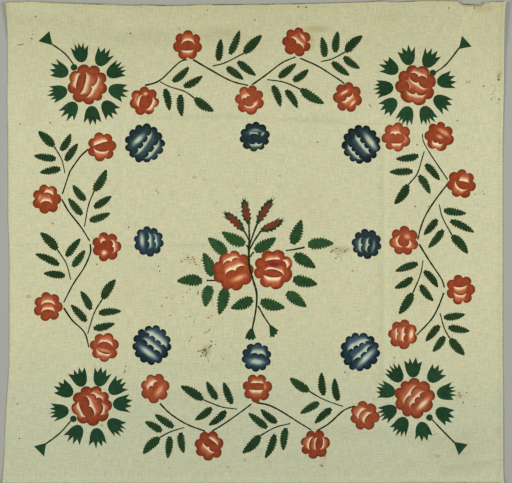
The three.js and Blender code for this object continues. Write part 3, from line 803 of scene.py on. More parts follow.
# A band runs from its first point to its second, in tenths of the flower's radius, with the
# pale side on its left.
SMALL_RED = (
    # centre, angles of the petals, bands: from, to, scallops, depth of the fade, bow, kind
    ((-172, 216), (42, 90, 142, 194, 246, 300, 354),
     ((-5.5, -0.5, -3.5, 5.5, 1, 0.7, 0, "weak"), (-3.6, -4.6, -1, 4.6, 1, 1.2, 0),
      (6.4, 3, 1, -6.6, 1, 1.5, 0.6), (-0.4, 5.4, 2.4, 6.2, 0, 0.9, 0))),
    ((-105, 302), (38, 88, 138, 186, 246, 294, 350),
     ((-5, 0.6, 5.4, 0.8, 1, 1.3, 1.6), (4.6, -3.4, -5.2, -3.6, 1, 1.4, 0.3, "flat"))),
    ((-10, 218), (28, 74, 122, 176, 226, 280, 342),
     ((-5.6, -0.6, 0.8, 2.2, 2, 1.8, 0.2), (5.2, -2, -4.6, -3.2, 1, 0.9, 1.2),
      (3.2, -5, 6, -1.6, 0, 1.1, 0))),
    ((63, 307), (28, 82, 126, 176, 226, 288, 332),
     ((-5.4, 3.4, 4.8, -5.6, 2, 1.3, 0), (2.4, 6.2, 6.4, 1.2, 0, 0.8, 0.3))),
    ((141, 222), (36, 84, 128, 182, 238, 288, 342),
     ((-5.4, 2.2, 0.4, 5.6, 0, 0.9, 0), (3.8, 3.8, -5.4, -3, 2, 1.6, 0.2),
      (6, -2.4, 2, -6.8, 0, 0.9, 0))),
    ((216, 161), (32, 80, 132, 190, 232, 278, 334),
     ((-5.2, 1, 3.8, 1.2, 2, 1.4, 0.3), (4.2, -4.6, -4, -4.6, 1, 1.3, -0.8),
      (5, 1.4, 3.6, -4.6, 1, 0.6, 1, "weak"))),
    ((282, 162), (32, 82, 126, 176, 228, 280, 342),
     ((-0.4, 5.6, 7.4, 0.4, 0, 1.5, 0.2, "weak"), (3.6, -4.8, -5.4, -2.4, 2, 1.6, 0.9),
      (-1.6, 0.8, 2.4, -1.6, 0, 1.1, 0, "weak"))),
    ((316, 89), (38, 86, 136, 190, 240, 290, 348),
     ((-2.2, 2.2, 5.8, 0.6, 1, 2, 0, "flat"), (4.8, -4, -4.4, 2.4, 1, 1.2, 1.8))),
    ((228, 1), (34, 90, 138, 188, 242, 290, 336),
     ((-0.4, -5, -2.4, 4.6, 1, 1.2, 2.2), (3.4, 0.6, 0.6, -4.6, 1, 1.3, 0.4),
      (0, 4, 4.4, 2.6, 0, 1.6, 0, "weak"))),
    ((315, -74), (2, 54, 104, 150, 202, 254, 306),
     ((5, 4, -6, 3.2, 1, 1.5, 0.4), (4.6, -2.4, -5.4, -1.6, 1, 1.4, 1))),
    ((226, -143), (30, 80, 128, 176, 222, 278, 336),
     ((-3.4, -4.6, -3.2, 5.4, 2, 0.9, 0), (1.6, -6.2, 2.6, 6, 2, 1.4, 0),
      (7.2, 4, 5.8, -4.2, 0, 1.6, 0))),
    ((-155, -226), (14, 72, 116, 160, 210, 262, 320),
     ((-5.6, -2, 2.8, 5, 2, 1.9, 0.5), (5.8, 1.6, 0.6, -5.8, 0, 1.9, 0, "weak"))),
    ((-72, -314), (14, 70, 118, 172, 212, 264, 316),
     ((-0.8, 6.2, 6.8, 0, 1, 1.2, 0, "flat"), (5, -4.8, -4.4, 3.4, 2, 1.2, 0.5))),
    ((2, -226), (14, 66, 118, 166, 214, 262, 310),
     ((-5.2, 4, 5, 3.8, 1, 1.1, 0, "flat"), (4.8, -1, -6.6, -0.7, 1, 1.6, 0, "flat"),
      (6, 3.6, 6.2, -1, 0, 0.5, 0, "weak"))),
    ((91, -312), (10, 70, 114, 168, 210, 258, 308),
     ((-3.8, -4.6, -1, 5.8, 1, 1.2, 0.7), (1.6, -5, 2.2, 5.4, 1, 0.7, 0.3),
      (5, 5.6, 3.8, -4, 1, 0.8, 0.3))),
    ((167, -268), (48, 102, 152, 196, 244, 296, 352),
     ((-4.4, -3, 1.8, 5.2, 1, 1.6, 0.8), (0, -6.2, 6, 2, 1, 1.6, 0.5))),
    ((-237, 146), (6, 56, 108, 158, 206, 258, 312),
     ((-6.8, 0.4, 4.8, 4.2, 1, 1.8, 0, "flat"), (5.6, -2.4, -6.4, -1.2, 1, 1.2, 0.8))),
    ((-322, 65), (2, 58, 106, 154, 202, 258, 306),
     ((-2.4, 4.6, 4.8, 2.4, 1, 1.7, 0.2), (-5.4, -3.8, 4.4, -4, 1, 1.5, 1.1),
      (-6, -1.4, -4.4, 3.2, 0, 1, 0.4, "weak"))),
    ((-230, -8), (2, 56, 106, 154, 204, 252, 306),
     ((-4, 2, -0.2, 4.4, 1, 1.4, 0), (-3.6, -5.6, -0.2, -4, 0, 1.7, 0),
      (2.4, 5.4, 4.2, -5.2, 2, 1.1, 0.9))),
    ((-320, -100), (0, 50, 102, 152, 204, 254, 304),
     ((-5.8, 0.4, 5.6, 0.6, 1, 1.4, 1.3), (-5.4, -4.6, 5.4, -4.6, 1, 1.4, 0.9))),
    ((-233, -163), (16, 70, 120, 168, 218, 268, 322),
     ((-5.6, 2.4, 6.4, 0.4, 1, 1.3, 1.6), (5.6, -4.4, -6.4, -0.8, 1, 1.2, 0.8),
      (-5, -1.2, 4, -3.6, 0, 0.9, 0.2, "weak"))),
)
ROSES = (
    # centre, angles of the petals, bands
    ((-259, 242), (26, 62, 106, 150, 194, 232, 278, 310, 342),
     ((-6.2, -2.4, -3.8, 6, 1, 1.2, -0.6), (-1.2, 6.8, -4.6, -5.6, 1, 1.5, 0),
      (5.2, 5.2, -1.8, -7.2, 2, 1.15, 0.4))),
    ((246, 241), (16, 62, 106, 142, 186, 230, 288, 324),
     ((-3.4, 6, 6.2, 2.6, 2, 0.9, 0), (7, -1.6, -3.6, 5, 2, 0.8, 0.2),
      (-6.2, 2.2, -4.2, -2.6, 1, 0.5, 0, "weak"), (6, -4.2, -5.2, -2.2, 2, 1.1, 1))),
    ((244, -241), (10, 48, 94, 126, 160, 206, 242, 276, 330),
     ((-5.4, -4, 2.2, 6.8, 2, 0.7, 0.2), (-1.8, -6.6, 6.6, 3.2, 3, 0.9, 1),
      (2, -6, 7.6, -0.4, 0, 1.3, 0))),
    ((-253, -253), (4, 36, 70, 112, 148, 190, 234, 276, 318),
     ((-3, -6, -6.8, 2.4, 1, 1.1, -0.3), (-4.2, 5.6, 1, -6, 2, 0.95, 0),
      (-1.2, 6.2, 6.2, 2, 2, 0.85, 0), (5.4, 1.6, 4.2, -5, 1, 0.8, 0))),
    ((-35, -45), (2, 46, 88, 118, 174, 202, 248, 280, 330),
     ((-5.6, 2.6, 4.2, 6.2, 2, 0.9, 0.6), (-4.4, -2.8, 7, 2.2, 2, 1.25, 0.3),
      (-0.4, -5.4, 6.8, -2.6, 0, 1.2, 0, "weak"))),
    ((27, -43), (28, 70, 116, 156, 192, 238, 280, 336),
     ((-4.6, 4.6, 3.8, 5.4, 1, 0.8, 0, "flat"), (4.4, 4.8, 6.6, 0.6, 1, 1.2, 0),
      (-5, -0.8, 5.8, -3.4, 1, 0.7, 0.6), (4.6, -3.6, -5.6, -2.8, 1, 1.5, 0.8, "flat"),
      (-4.6, 2.2, 4.6, 2.8, 0, 2.2, 0, "dark"))),
)
ROSE_TONES = (0.86, 0.89, 0.95, 0.97, 1.1, 1.12)
BLUES = (
    # centre, number of scallops, angle of the first, bands; no scallops means a soft lens
    ((-171, 151), 13, 1,
     ((-6.8, -0.8, -0.6, 5, 0, 1.4, 0), (3, 8.4, -7.2, -6, 4, 0.9, 1),
      (7.2, 3, -1.6, -8, 3, 1, 0.8))),
    ((162, 149), 13, 15,
     ((2, 6, 8.2, -2.4, 0, 1.6, 0), (6.8, -4.8, -2.5, 7, 4, 1.15, 0.2),
      (1.4, -7.7, -6.8, 1.4, 4, 0.9, 0.8))),
    ((160, -170), 13, 22,
     ((-6.8, -0.8, 6.4, 5.4, 4, 1.5, 0.8), (-3.5, -6, 7.2, 3.4, 3, 1.1, -0.6),
      (-0.8, -7.6, 7.8, 1.2, 0, 1.5, 0))),
    ((-160, -159), 13, 19,
     ((-5, 6.6, 7.8, -3, 4, 1.7, 0.6), (-6.2, 3, 4.8, -6, 3, 1.2, -0.2),
      (-6.6, -1, 2.2, -7.6, 0, 1.5, 0))),
    ((-2, 161), 10, 13,
     ((-4.2, 1, 2.8, 1, 1, 0.8, 0), (6, -3.6, -4.2, -4.2, 2, 1.2, 0.2),
      (-5, 3, 5.6, 3.6, 0, 1, 1.8, "weak"), (4.8, 1, 7, 3.4, 0, 0.8, 0))),
    ((170, -4), 10, 25,
     ((-2.6, -6.2, -2.6, 5, 2, 1.2, 0.3), (1.4, -6, 2.8, 4.8, 2, 1.2, -0.3),
      (5.6, 2.4, 4, -5.6, 0, 0.8, 0.6, "weak"))),
    ((1, -178), 10, 12,
     ((-5, 1.4, 7, 0, 2, 2, 1), (-5.4, -2.8, 5.4, -4, 0, 2.2, 0))),
    ((-165, 0), 10, 25,
     ((-5.4, 5.8, -4.6, -4, 0, 1.5, 0), (-1.2, 6.6, -0.8, -5.6, 2, 1.2, 0),
      (2.6, 6, 4, -5.4, 2, 0.8, 0.5))),
)
# The mesh also follows the bands' edges and has finer points inside the flowers.
band_edges = []
fine_spots = []


def petal_radius(angle, petals, valley, tip):
    """Radius of a flower's edge: a rounded petal about each angle, with a notch between."""
    petals = np.sort(np.array(petals, dtype=float))
    around = np.concatenate((petals - 360, petals, petals + 360))
    middles = (around[1:] + around[:-1]) / 2
    angle = np.mod(angle, 360)
    which = np.searchsorted(middles, angle)
    centre = around[which]
    before = centre - middles[which - 1]
    after = middles[np.minimum(which, len(middles) - 1)] - centre
    off = np.where(angle < centre, (centre - angle) / before, (angle - centre) / after)
    return valley + (tip - valley) * (1 - np.clip(off, 0, 1) ** 2.1) ** 0.6


def band_line(band, unit):
    """The hard, petal-shaped edge of a pale band: its run, bow and bulge along it, in mm."""
    start = np.array(band[0:2]) * unit
    end = np.array(band[2:4]) * unit
    length = math.hypot(*(end - start))
    scallops = band[4]
    along = np.linspace(0, 1, 1 + 8 * max(scallops, 1))
    bow = band[6] * unit * (1 - (2 * along - 1) ** 2)
    bulge = np.zeros_like(along)
    if scallops:
        height = min(BULGE_SHARE * length / scallops, BULGE * unit)
        if "flat" in band:
            height *= FLAT_BULGE
        part = np.mod(along * scallops, 1)
        bulge = height * np.sqrt(np.clip(1 - (2 * part - 1) ** 2, 0, 1))
    return start, (end - start) / length, length, along * length, bow, bulge


def flower(at, petals, valley, tip, bands, inks, seed):
    """A stencilled flower with pale bands. Bands are in tenths of its radius."""
    rim, dark, bright, fade, palest = inks
    centre = np.array(at, dtype=float)
    unit = (valley + tip) / 2 / BAND_TENTHS
    draw = random.Random(seed)
    tips = [draw.uniform(0.97, 1.04) for _ in petals]

    def edge(angle):
        wobble = np.interp(np.mod(angle, 360), np.linspace(0, 360, len(tips) + 1),
                           tips + tips[:1])
        return petal_radius(angle, petals, valley, tip) * wobble

    angles = np.arange(0, 360, 360 / (9 * len(petals)))
    radii = edge(angles)
    polygon = np.stack((centre[0] + radii * np.cos(np.radians(angles)),
                        centre[1] + radii * np.sin(np.radians(angles))), axis=1)
    lines = [band_line(band, unit) + (band,) for band in bands]
    warm = draw.uniform(0.3, 0.6)

    def paint(x, y):
        lx, ly = x - centre[0], y - centre[1]
        out = np.hypot(lx, ly) / edge(np.degrees(np.arctan2(ly, lx)))
        pale = np.zeros(len(x))
        shade = np.zeros(len(x))
        warmth = np.zeros(len(x))
        deep = np.zeros(len(x))
        for start, run, length, along, bow, bulge, band in lines:
            u = (lx - start[0]) * run[0] + (ly - start[1]) * run[1]
            v = (ly - start[1]) * run[0] - (lx - start[0]) * run[1]
            v = v - np.interp(u, along, bow)
            share = u / length
            depth = band[5] * unit
            strength = WEAK_BAND if "weak" in band else 1
            if band[4]:
                ends = np.where((u > 0) & (u < length), 1 - (2 * share - 1) ** 6, 0)
                near = np.interp(u, along, bulge)
                far = (FADE_REACH * depth + 0.9 * bulge.max()) * ends
                fading = np.clip((far - v) / (FADE_SOFTNESS * depth) + 0.05, 0, 1)
                here = np.where(v > near, fading, 0)
                here = here * np.clip(ends * 3, 0, 1)
                glowing = np.clip((GLOW_REACH * far - v) / (GLOW_SOFTNESS * depth), 0, 1)
                glow = np.where(v > near, glowing, 0)
                behind = np.where(v <= near, np.exp((v - near) / (POOL_WIDTH * unit)), 0)
                shade = np.maximum(shade, behind * ends)
            else:
                away = np.hypot(2 * share - 1, v / depth)
                here = np.clip((LENS_REACH - away) / LENS_SOFTNESS, 0, 1)
                glow = np.clip((2.0 - away) / 1.1, 0, 1)
            if "dark" in band:
                deep = np.maximum(deep, here)
            else:
                warmth = np.maximum(warmth, strength * glow)
                pale = np.maximum(pale, strength * here)
        pale = pale * np.clip((1.0 - out) / PALE_MARGIN, 0, 1)
        rim_dark = RIM_SHADE * np.clip((out - RIM_FROM) / RIM_WIDTH, 0, 1)
        pooled = np.maximum(rim_dark, shade * (1 - pale))[:, None]
        mix = np.clip(warm + BRIGHTER * (warmth - 0.25), 0, 1)[:, None]
        rgb = dark * (1 - mix) + bright * mix
        rgb = rgb * (1 - pooled) + rim * pooled
        rgb = rgb * (1 - deep[:, None]) + CRIMSON * deep[:, None]
        toward = np.clip(pale * 2, 0, 1)[:, None]
        beyond = np.clip(pale * 2 - 1, 0, 1)[:, None]
        rgb = rgb * (1 - toward) + fade * toward
        rgb = rgb * (1 - beyond) + palest * beyond
        return rgb, 1 - THIN_PAINT * np.clip(pale, 0, 1) ** 2

    shapes.append((polygon, paint))
    fine_spots.append((centre, tip, edge))
    for start, run, length, along, bow, bulge, band in lines:
        if band[4]:
            left = np.array((-run[1], run[0]))
            line = centre + start + along[:, None] * run + (bow + bulge)[:, None] * left
            band_edges.append(line)


for number, (at, petals, bands) in enumerate(SMALL_RED):
    flower(at, petals, *SMALL_RED_SIZE, bands, REDS, number + 800)
for number, ((at, petals, bands), tone) in enumerate(zip(ROSES, ROSE_TONES)):
    flower(at, petals, *ROSE_SIZE, bands, [paint * tone for paint in REDS], number + 840)
for number, (at, count, first, bands) in enumerate(BLUES):
    shake = random.Random(number + 860)
    petals = [first + (i + shake.uniform(-0.1, 0.1)) * 360 / count for i in range(count)]
    size = BIG_BLUE_SIZE if count > 10 else SMALL_BLUE_SIZE
    inks = BLUER if number in BLUER_FLOWERS else NAVIES
    flower(at, petals, *size, bands, inks, number + 880)

# The bouquet's main stem.
# It passes over the roses, forks below them and ends in two small fans. It was painted last,
# in the vines' way but thicker.
stem(((-10, 2), (-11, -16), (-10, -39), (-4, -61), (1, -80), (0, -104), (-6, -136)),
     3.7, 2.9, STEM_GREEN, 90)
stem(((3, -99), (12, -115), (22, -130)), 2.6, 2.4, STEM_GREEN, 91)
stencil(((-9, -134), (-4.5, -134), (0.5, -150), (-2, -148.5), (-4.5, -152.5), (-7.5, -150),
         (-10.5, -152.5), (-13, -149.5), (-17, -150), (-15.5, -144), (-13, -139)), GREEN)
stencil(((20, -127), (24, -129), (35, -137), (32, -139), (33, -143), (29, -143), (28, -148),
         (24, -146), (22, -149)), GREEN)

# The dark flecks.
# Nearly black specks and short threads lie on top of the print and of the bare cloth, left
# there long after it was made.
FLECK = ink(46, 38, 20)
FLECK_SIZE = 0.85
FLECK_COVER = 0.85
DARK_FLECKS = (
    # centre, length, width, direction in degrees
    (-339, 346, 3.2, 2, 30), (-345, 312, 4.2, 2, 160), (-362, 303, 13, 1.3, 12),
    (-317, 183, 2.8, 2.4, 0), (-363, 181, 2.6, 2.2, 0), (-193, 320, 3.2, 2.2, 60),
    (65, 361, 3.4, 2.5, 40), (77, 360.4, 3.6, 2.3, 0), (-2, 341, 2.8, 2.2, 0),
    (-119, 133, 3, 2.2, 0), (95, 153, 3, 2.4, 0), (297, 359.3, 3.4, 2.2, 90),
    (336, 359.6, 4, 1.4, 90), (310, 186, 3.2, 2.2, 0), (248, 149, 2.8, 2.2, 0),
    (175.6, 209, 7.5, 1.5, -47), (-313, 28, 2.8, 2.2, 0), (-196, 22, 3.2, 2.2, 0),
    (-154, 79, 6, 1.1, 60), (-151, 76, 6, 1.1, 120), (-245, -35, 3.2, 2.2, 0),
    (-150, -38, 5, 1.6, 70), (-148, -46, 4, 1.5, 100), (245, 54, 3.2, 2, 0),
    (266, 54, 3.2, 2, 0), (337, 73, 3.2, 2, 0), (351, 73, 2.8, 2, 0), (-367, -250, 3.2, 2.2, 0),
    (-364, -303, 3.2, 2.2, 0), (240, 218, 2.6, 2, 0),
)
for number, (x, y, length, width, direction) in enumerate(DARK_FLECKS):
    blob(x, y, length * FLECK_SIZE, width * FLECK_SIZE, direction, FLECK, FLECK_COVER,
         number + 1200)

# The mesh of the cloth.
# Every painted edge is also an edge of the mesh, so that the print stays crisp, and the
# flowers are filled finely for their fades. The underside is coarser.
MM = 0.001
MIDDLE = (-3.1, 0)
GRID = 6.0
FINE = 1.8
UNDER_GRID = 10.0
EDGE_INSET = 0.5
RIM_GAP = 0.35
FOLD_ROWS = (-6, -3.4, -1.2, 1.2, 3.4, 6)
UNDER_FOLD_ROWS = (-6, 0, 6)
RIM_LINES = (2.2, 5, 9)
UNDER_WEIGHT = 1.2
TOP_GAP = 2.5
UNDER_GAP = 5
FLOWER_GAP = 1
FLOWER_INSET = 0.7
ROW_SHARE = 0.866
# Between these, nothing is near the rim.
CLEAR_SIDE = 365
CLEAR_TOP = 350
CLEAR_BOTTOM = -360


def inside(polygon, x, y):
    """Which of the points are inside the polygon."""
    px, py = polygon.T
    qx, qy = np.roll(px, -1), np.roll(py, -1)
    level = qy == py
    rise = np.where(level, 1, qy - py)
    crossing = (py[:, None] > y) != (qy[:, None] > y)
    at = (qx - px)[:, None] * (y - py[:, None]) / rise[:, None] + px[:, None]
    return (crossing & (x < at)).sum(axis=0) % 2 == 1


edge = np.stack((edge_x, edge_y), axis=1)
forward = np.roll(edge, -1, axis=0) - np.roll(edge, 1, axis=0)
forward /= np.hypot(*forward.T)[:, None]
inward = np.stack((-forward[:, 1], forward[:, 0]), axis=1)
inner_edge = edge + inward * EDGE_INSET


def triangulate(ring, spots, lines):
    """Triangles that fill the ring, through all the spots and along all the lines."""
    points = [tuple(p) for p in ring]
    edges = [(i, (i + 1) % len(ring)) for i in range(len(ring))]
    for line, closed in lines:
        first = len(points)
        points.extend(tuple(p) for p in line)
        edges.extend((first + i, first + i + 1) for i in range(len(line) - 1))
        if closed:
            edges.append((first + len(line) - 1, first))
    points.extend(tuple(p) for p in spots)
    made = delaunay_2d_cdt([Vector(p) for p in points], edges, [], 0, 1e-5, True)
    verts = np.array([tuple(v) for v in made[0]])
    faces = np.array(made[2])
    place_of = {}
    for vert, sources in enumerate(made[3]):
        for source in sources:
            place_of[source] = vert
    middle = verts[faces].mean(axis=1)
    keep = np.ones(len(faces), dtype=bool)
    near = np.nonzero((np.abs(middle[:, 0]) > CLEAR_SIDE) | (middle[:, 1] > CLEAR_TOP)
                      | (middle[:, 1] < CLEAR_BOTTOM))[0]
    for part in np.array_split(near, max(len(near) // 4000, 1)):
        keep[part] = inside(np.array(ring), middle[part, 0], middle[part, 1])
    corners = verts[faces]
    turn = ((corners[:, 1, 0] - corners[:, 0, 0]) * (corners[:, 2, 1] - corners[:, 0, 1])
            - (corners[:, 1, 1] - corners[:, 0, 1]) * (corners[:, 2, 0] - corners[:, 0, 0]))
    faces = np.where((turn < 0)[:, None], faces[:, ::-1], faces)
    return verts, faces[keep & (np.abs(turn) > 1e-9)], [place_of[i] for i in range(len(ring))]


def weave_grid(step, extra):
    """An even grid over the cloth, with closer rows along the folds."""
    across = list(np.arange(-HALF_WIDTH + step, HALF_WIDTH - 1, step))
    up = list(np.arange(-HALF_LENGTH + step, HALF_LENGTH - 1, step))
    spots = [(x, y) for x in across for y in up]
    for fold in FOLDS:
        run = math.hypot(fold[2] - fold[0], fold[3] - fold[1])
        ux, uy = (fold[2] - fold[0]) / run, (fold[3] - fold[1]) / run
        for off in extra:
            for along in np.arange(-fold[5], run + fold[5], step):
                spots.append((fold[0] + ux * along - uy * off, fold[1] + uy * along + ux * off))
    return np.array(spots)


def well_inside(spots, gap):
    x, y = spots.T
    keep = (np.abs(x) < HALF_WIDTH - 8) & (np.abs(y) < HALF_LENGTH - 14)
    near = np.nonzero(~keep)[0]
    fits = inside(inner_edge, x[near], y[near])
    distance = np.full(len(near), 99.0)
    for start in range(0, len(edge), 50):
        part = edge[start:start + 50]
        away = np.hypot(x[near][:, None] - part[:, 0], y[near][:, None] - part[:, 1])
        distance = np.minimum(distance, away.min(axis=1))
    keep[near] = fits & (distance > gap)
    return spots[keep]


# No mark may touch the rim, so any point of one that comes near is moved inwards.
for number, (polygon, paint) in enumerate(shapes):
    low, high = polygon.min(axis=0), polygon.max(axis=0)
    beside = low[0] < -CLEAR_SIDE or high[0] > CLEAR_SIDE
    if beside or low[1] < CLEAR_BOTTOM or high[1] > CLEAR_TOP:
        away = np.hypot(polygon[:, :1] - inner_edge[:, 0], polygon[:, 1:] - inner_edge[:, 1])
        nearest = away.argmin(axis=1)
        depth = ((polygon - inner_edge[nearest]) * inward[nearest]).sum(axis=1)
        short = np.maximum(RIM_GAP - depth, 0)
        shapes[number] = (polygon + inward[nearest] * short[:, None], paint)

spots = well_inside(weave_grid(GRID, FOLD_ROWS), TOP_GAP)
for centre, reach, flower_edge in fine_spots:
    off = spots - centre
    flower_rim = flower_edge(np.degrees(np.arctan2(off[:, 1], off[:, 0])))
    spots = spots[np.hypot(*off.T) > flower_rim + FLOWER_GAP]
fill = []
for centre, reach, flower_edge in fine_spots:
    row = 0
    for y in np.arange(-reach, reach, FINE * ROW_SHARE):
        row += 1
        for x in np.arange(-reach + (row % 2) * FINE / 2, reach, FINE):
            if math.hypot(x, y) < flower_edge(math.degrees(math.atan2(y, x))) - FLOWER_INSET:
                fill.append((centre[0] + x, centre[1] + y))
spots = np.concatenate((spots, np.array(fill), well_inside(np.array(stain_spots), TOP_GAP)))

lines = [(polygon, True) for polygon, _ in shapes] + [(line, False) for line in band_edges]
for depth in RIM_LINES:
    lines.append((edge[::2] + inward[::2] * depth, True))
top, top_faces, top_ring = triangulate(inner_edge, spots, lines)
under, under_faces, under_ring = triangulate(
    inner_edge, well_inside(weave_grid(UNDER_GRID, UNDER_FOLD_ROWS), UNDER_GAP), [])


def heights(points, upper):
    wx, wy = on_weave(points[:, 0], points[:, 1])
    lift = lift_at(wx, wy)
    return lift + thickness_at(wx, wy) if upper else lift


top_z, under_z = heights(top, True), heights(under, False)
rim_z = (top_z[top_ring] + UNDER_WEIGHT * under_z[under_ring]) / (1 + UNDER_WEIGHT)
verts = np.concatenate((
    np.column_stack((top, top_z)),
    np.column_stack((under, under_z)),
    np.column_stack((edge, rim_z)),
)) - np.array((*MIDDLE, 0))
faces = [tuple(f) for f in top_faces]
faces += [tuple(f[::-1]) for f in under_faces + len(top)]
rim_first = len(top) + len(under)
count = len(edge)
for i in range(count):
    j = (i + 1) % count
    faces.append((top_ring[i], rim_first + i, rim_first + j, top_ring[j]))
for i in range(count):
    j = (i + 1) % count
    low_i, low_j = under_ring[i] + len(top), under_ring[j] + len(top)
    faces.append((rim_first + i, low_i, low_j, rim_first + j))
mesh = bpy.data.meshes.new("cover_cloth_panel")
mesh.from_pydata((verts * MM).tolist(), [], [tuple(int(i) for i in f) for f in faces])
mesh.shade_smooth()
cloth = bpy.data.objects.new("cover_cloth_panel", mesh)
bpy.context.scene.collection.objects.link(cloth)

# The paint goes on corner by corner, looked up just inside each triangle.
JUST_INSIDE = 0.03
middles = top[top_faces].mean(axis=1)
paint_of = np.full(len(top_faces), -1)
for number, (polygon, paint) in enumerate(shapes):
    low, high = polygon.min(axis=0), polygon.max(axis=0)
    near = np.nonzero(((middles > low) & (middles < high)).all(axis=1))[0]
    hit = inside(polygon, middles[near, 0], middles[near, 1])
    paint_of[near[hit]] = number
loop_count = len(mesh.loops)
colours = np.zeros((loop_count, 4), dtype=np.float32)
for number, (polygon, paint) in enumerate(shapes):
    mine = np.nonzero(paint_of == number)[0]
    if len(mine):
        corners = top[top_faces[mine]]
        corners = corners + (middles[mine][:, None, :] - corners) * JUST_INSIDE
        flat = corners.reshape(-1, 2)
        rgb, cover = paint(flat[:, 0], flat[:, 1])
        loops = (mine[:, None] * 3 + np.arange(3)).reshape(-1)
        colours[loops, :3] = rgb
        colours[loops, 3] = cover
# The very rim of the top edge is painted dark like the line beside it: painted shade of the rolled hem,
# with dirt in it.
rim_loops = len(top_faces) * 3 + len(under_faces) * 3
hem_shade_and_soil = np.interp(edge_x, np.arange(-400, 401, 16), [rag.uniform(0.6, 1) for _ in range(51)])
for i in range(count):
    if on_top[i] and on_top[(i + 1) % count]:
        colours[rim_loops + 4 * i:rim_loops + 4 * i + 4, :3] = DARK_BROWN
        colours[rim_loops + 4 * i:rim_loops + 4 * i + 4, 3] = hem_shade_and_soil[i]
layer = mesh.color_attributes.new("print", "FLOAT_COLOR", "CORNER")
layer.data.foreach_set("color", colours.reshape(-1))

# Painted shade and highlight beside the folds, and yellowed rims: narrow at both selvages,
# wider at the right one and at the hem.
all_flat = np.concatenate((top, under, edge))
weave_x, weave_y = on_weave(all_flat[:, 0], all_flat[:, 1])
shade_and_tone = mesh.attributes.new("shade_and_tone", "FLOAT", "POINT")
shade_and_tone.data.foreach_set("value", shade_and_tone_at(weave_x, weave_y).astype(np.float32))
yellow = mesh.attributes.new("yellow", "FLOAT", "POINT")
aged = np.maximum(bump(HALF_WIDTH - np.abs(weave_x), 6), 0.8 * bump(HALF_WIDTH - weave_x, 16))
aged = np.maximum(aged, 0.6 * bump(HALF_LENGTH - weave_y, 12))
yellow.data.foreach_set("value", aged.astype(np.float32))

# The unfolded map: the painted side as it lies, the underside squeezed into a strip beside it.
MAP_SIDE = 800
FACE_FROM = (0.005, 0.045)
FACE_SHARE = 0.90
UNDER_FROM = 0.99
UNDER_SHARE = 0.06
co = np.empty(loop_count, dtype=np.int32)
mesh.loops.foreach_get("vertex_index", co)
flat_x = verts[co, 0] / MAP_SIDE + 0.5
flat_y = verts[co, 1] / MAP_SIDE + 0.5
top_loops = len(top_faces) * 3
under_loops = len(under_faces) * 3
unfold = mesh.uv_layers.new(name="OFBake")
u = FACE_FROM[0] + flat_x * FACE_SHARE
v = FACE_FROM[1] + flat_y * FACE_SHARE
is_under = np.zeros(loop_count, dtype=bool)
is_under[top_loops:top_loops + under_loops] = True
is_under[-4 * count:] = True
u = np.where(is_under, UNDER_FROM - flat_x * UNDER_SHARE, u)
unfold.data.foreach_set("uv", np.column_stack((u, v)).reshape(-1).astype(np.float32))

# The printed cotton.
# Undyed, plain-woven cotton gone cream with age, with slubs in both directions and faint
# blotches. The paint has sunk in, and the weave shows through where it is thin.
# Painted shade at the two ends of the cloth, where the light falls off.
PAINTED_FALLOFF_ENDS = (
    # from y, to y, tint
    (0.17, 0.37, (0.885, 0.875, 0.835)),
    (-0.12, -0.30, (0.88, 0.93, 0.98)),
)
cotton = bpy.data.materials.new("printed_cotton")
cotton.use_nodes = True
nodes = cotton.node_tree.nodes
links = cotton.node_tree.links
shader = nodes["Principled BSDF"]
cloth_place = nodes.new("ShaderNodeTexCoord")


def noise(scale, detail, stretch=(1, 1, 1)):
    """Noise over the cloth, 0 to 1; scale is in features to a metre."""
    mapping = nodes.new("ShaderNodeMapping")
    mapping.inputs["Scale"].default_value = [s * scale for s in stretch]
    texture = nodes.new("ShaderNodeTexNoise")
    texture.inputs["Scale"].default_value = 1
    texture.inputs["Detail"].default_value = detail
    links.new(cloth_place.outputs["Object"], mapping.inputs["Vector"])
    links.new(mapping.outputs["Vector"], texture.inputs["Vector"])
    return texture.outputs["Fac"]


def sums(kind, a, b, clamp=False):
    node = nodes.new("ShaderNodeMath")
    node.operation = kind
    node.use_clamp = clamp
    for socket, value in zip(node.inputs, (a, b)):
        if isinstance(value, (int, float)):
            socket.default_value = value
        else:
            links.new(value, socket)
    return node.outputs[0]


def blend(factor, a, b, kind="MIX"):
    node = nodes.new("ShaderNodeMix")
    node.data_type = "RGBA"
    node.blend_type = kind
    for socket, value in ((node.inputs[0], factor), (node.inputs[6], a), (node.inputs[7], b)):
        if isinstance(value, (int, float)):
            socket.default_value = value
        elif isinstance(value, tuple):
            socket.default_value = (*value, 1)
        else:
            links.new(value, socket)
    return node.outputs[2]


def attribute(name):
    node = nodes.new("ShaderNodeAttribute")
    node.attribute_name = name
    return node


blotch = noise(9, 3)
spots_of_age = noise(45, 4)
warp = noise(1, 2, (760, 60, 1))
weft = noise(1, 2, (60, 760, 1))
grain = noise(700, 2)
ground = blend(blotch, (0.585, 0.578, 0.362), (0.64, 0.628, 0.396))
ground = blend(sums("MULTIPLY", spots_of_age, 0.35), ground, (0.60, 0.575, 0.35))
threads = sums("ADD", warp, weft)
tone = sums("ADD", sums("MULTIPLY", threads, 0.38), 0.30)
tone = sums("ADD", tone, sums("MULTIPLY", noise(420, 2), 0.28))
tone = sums("ADD", tone, sums("MULTIPLY", grain, 0.36))
# Painted shade and highlight beside the folds darken and lighten the cloth's tone.
tone = sums("ADD", tone, sums("MULTIPLY", attribute("shade_and_tone").outputs["Fac"], 0.2))
ground = blend(sums("MULTIPLY", attribute("yellow").outputs["Fac"], 0.35), ground,
               (0.56, 0.53, 0.30))
mottle = sums("SUBTRACT", sums("MULTIPLY", noise(110, 4), 2.4), 0.7, clamp=True)
ground = blend(1.0, ground, blend(mottle, (1.03, 0.99, 0.94), (0.97, 1.01, 1.06)), "MULTIPLY")
ground = blend(1.0, ground, tone, "MULTIPLY")

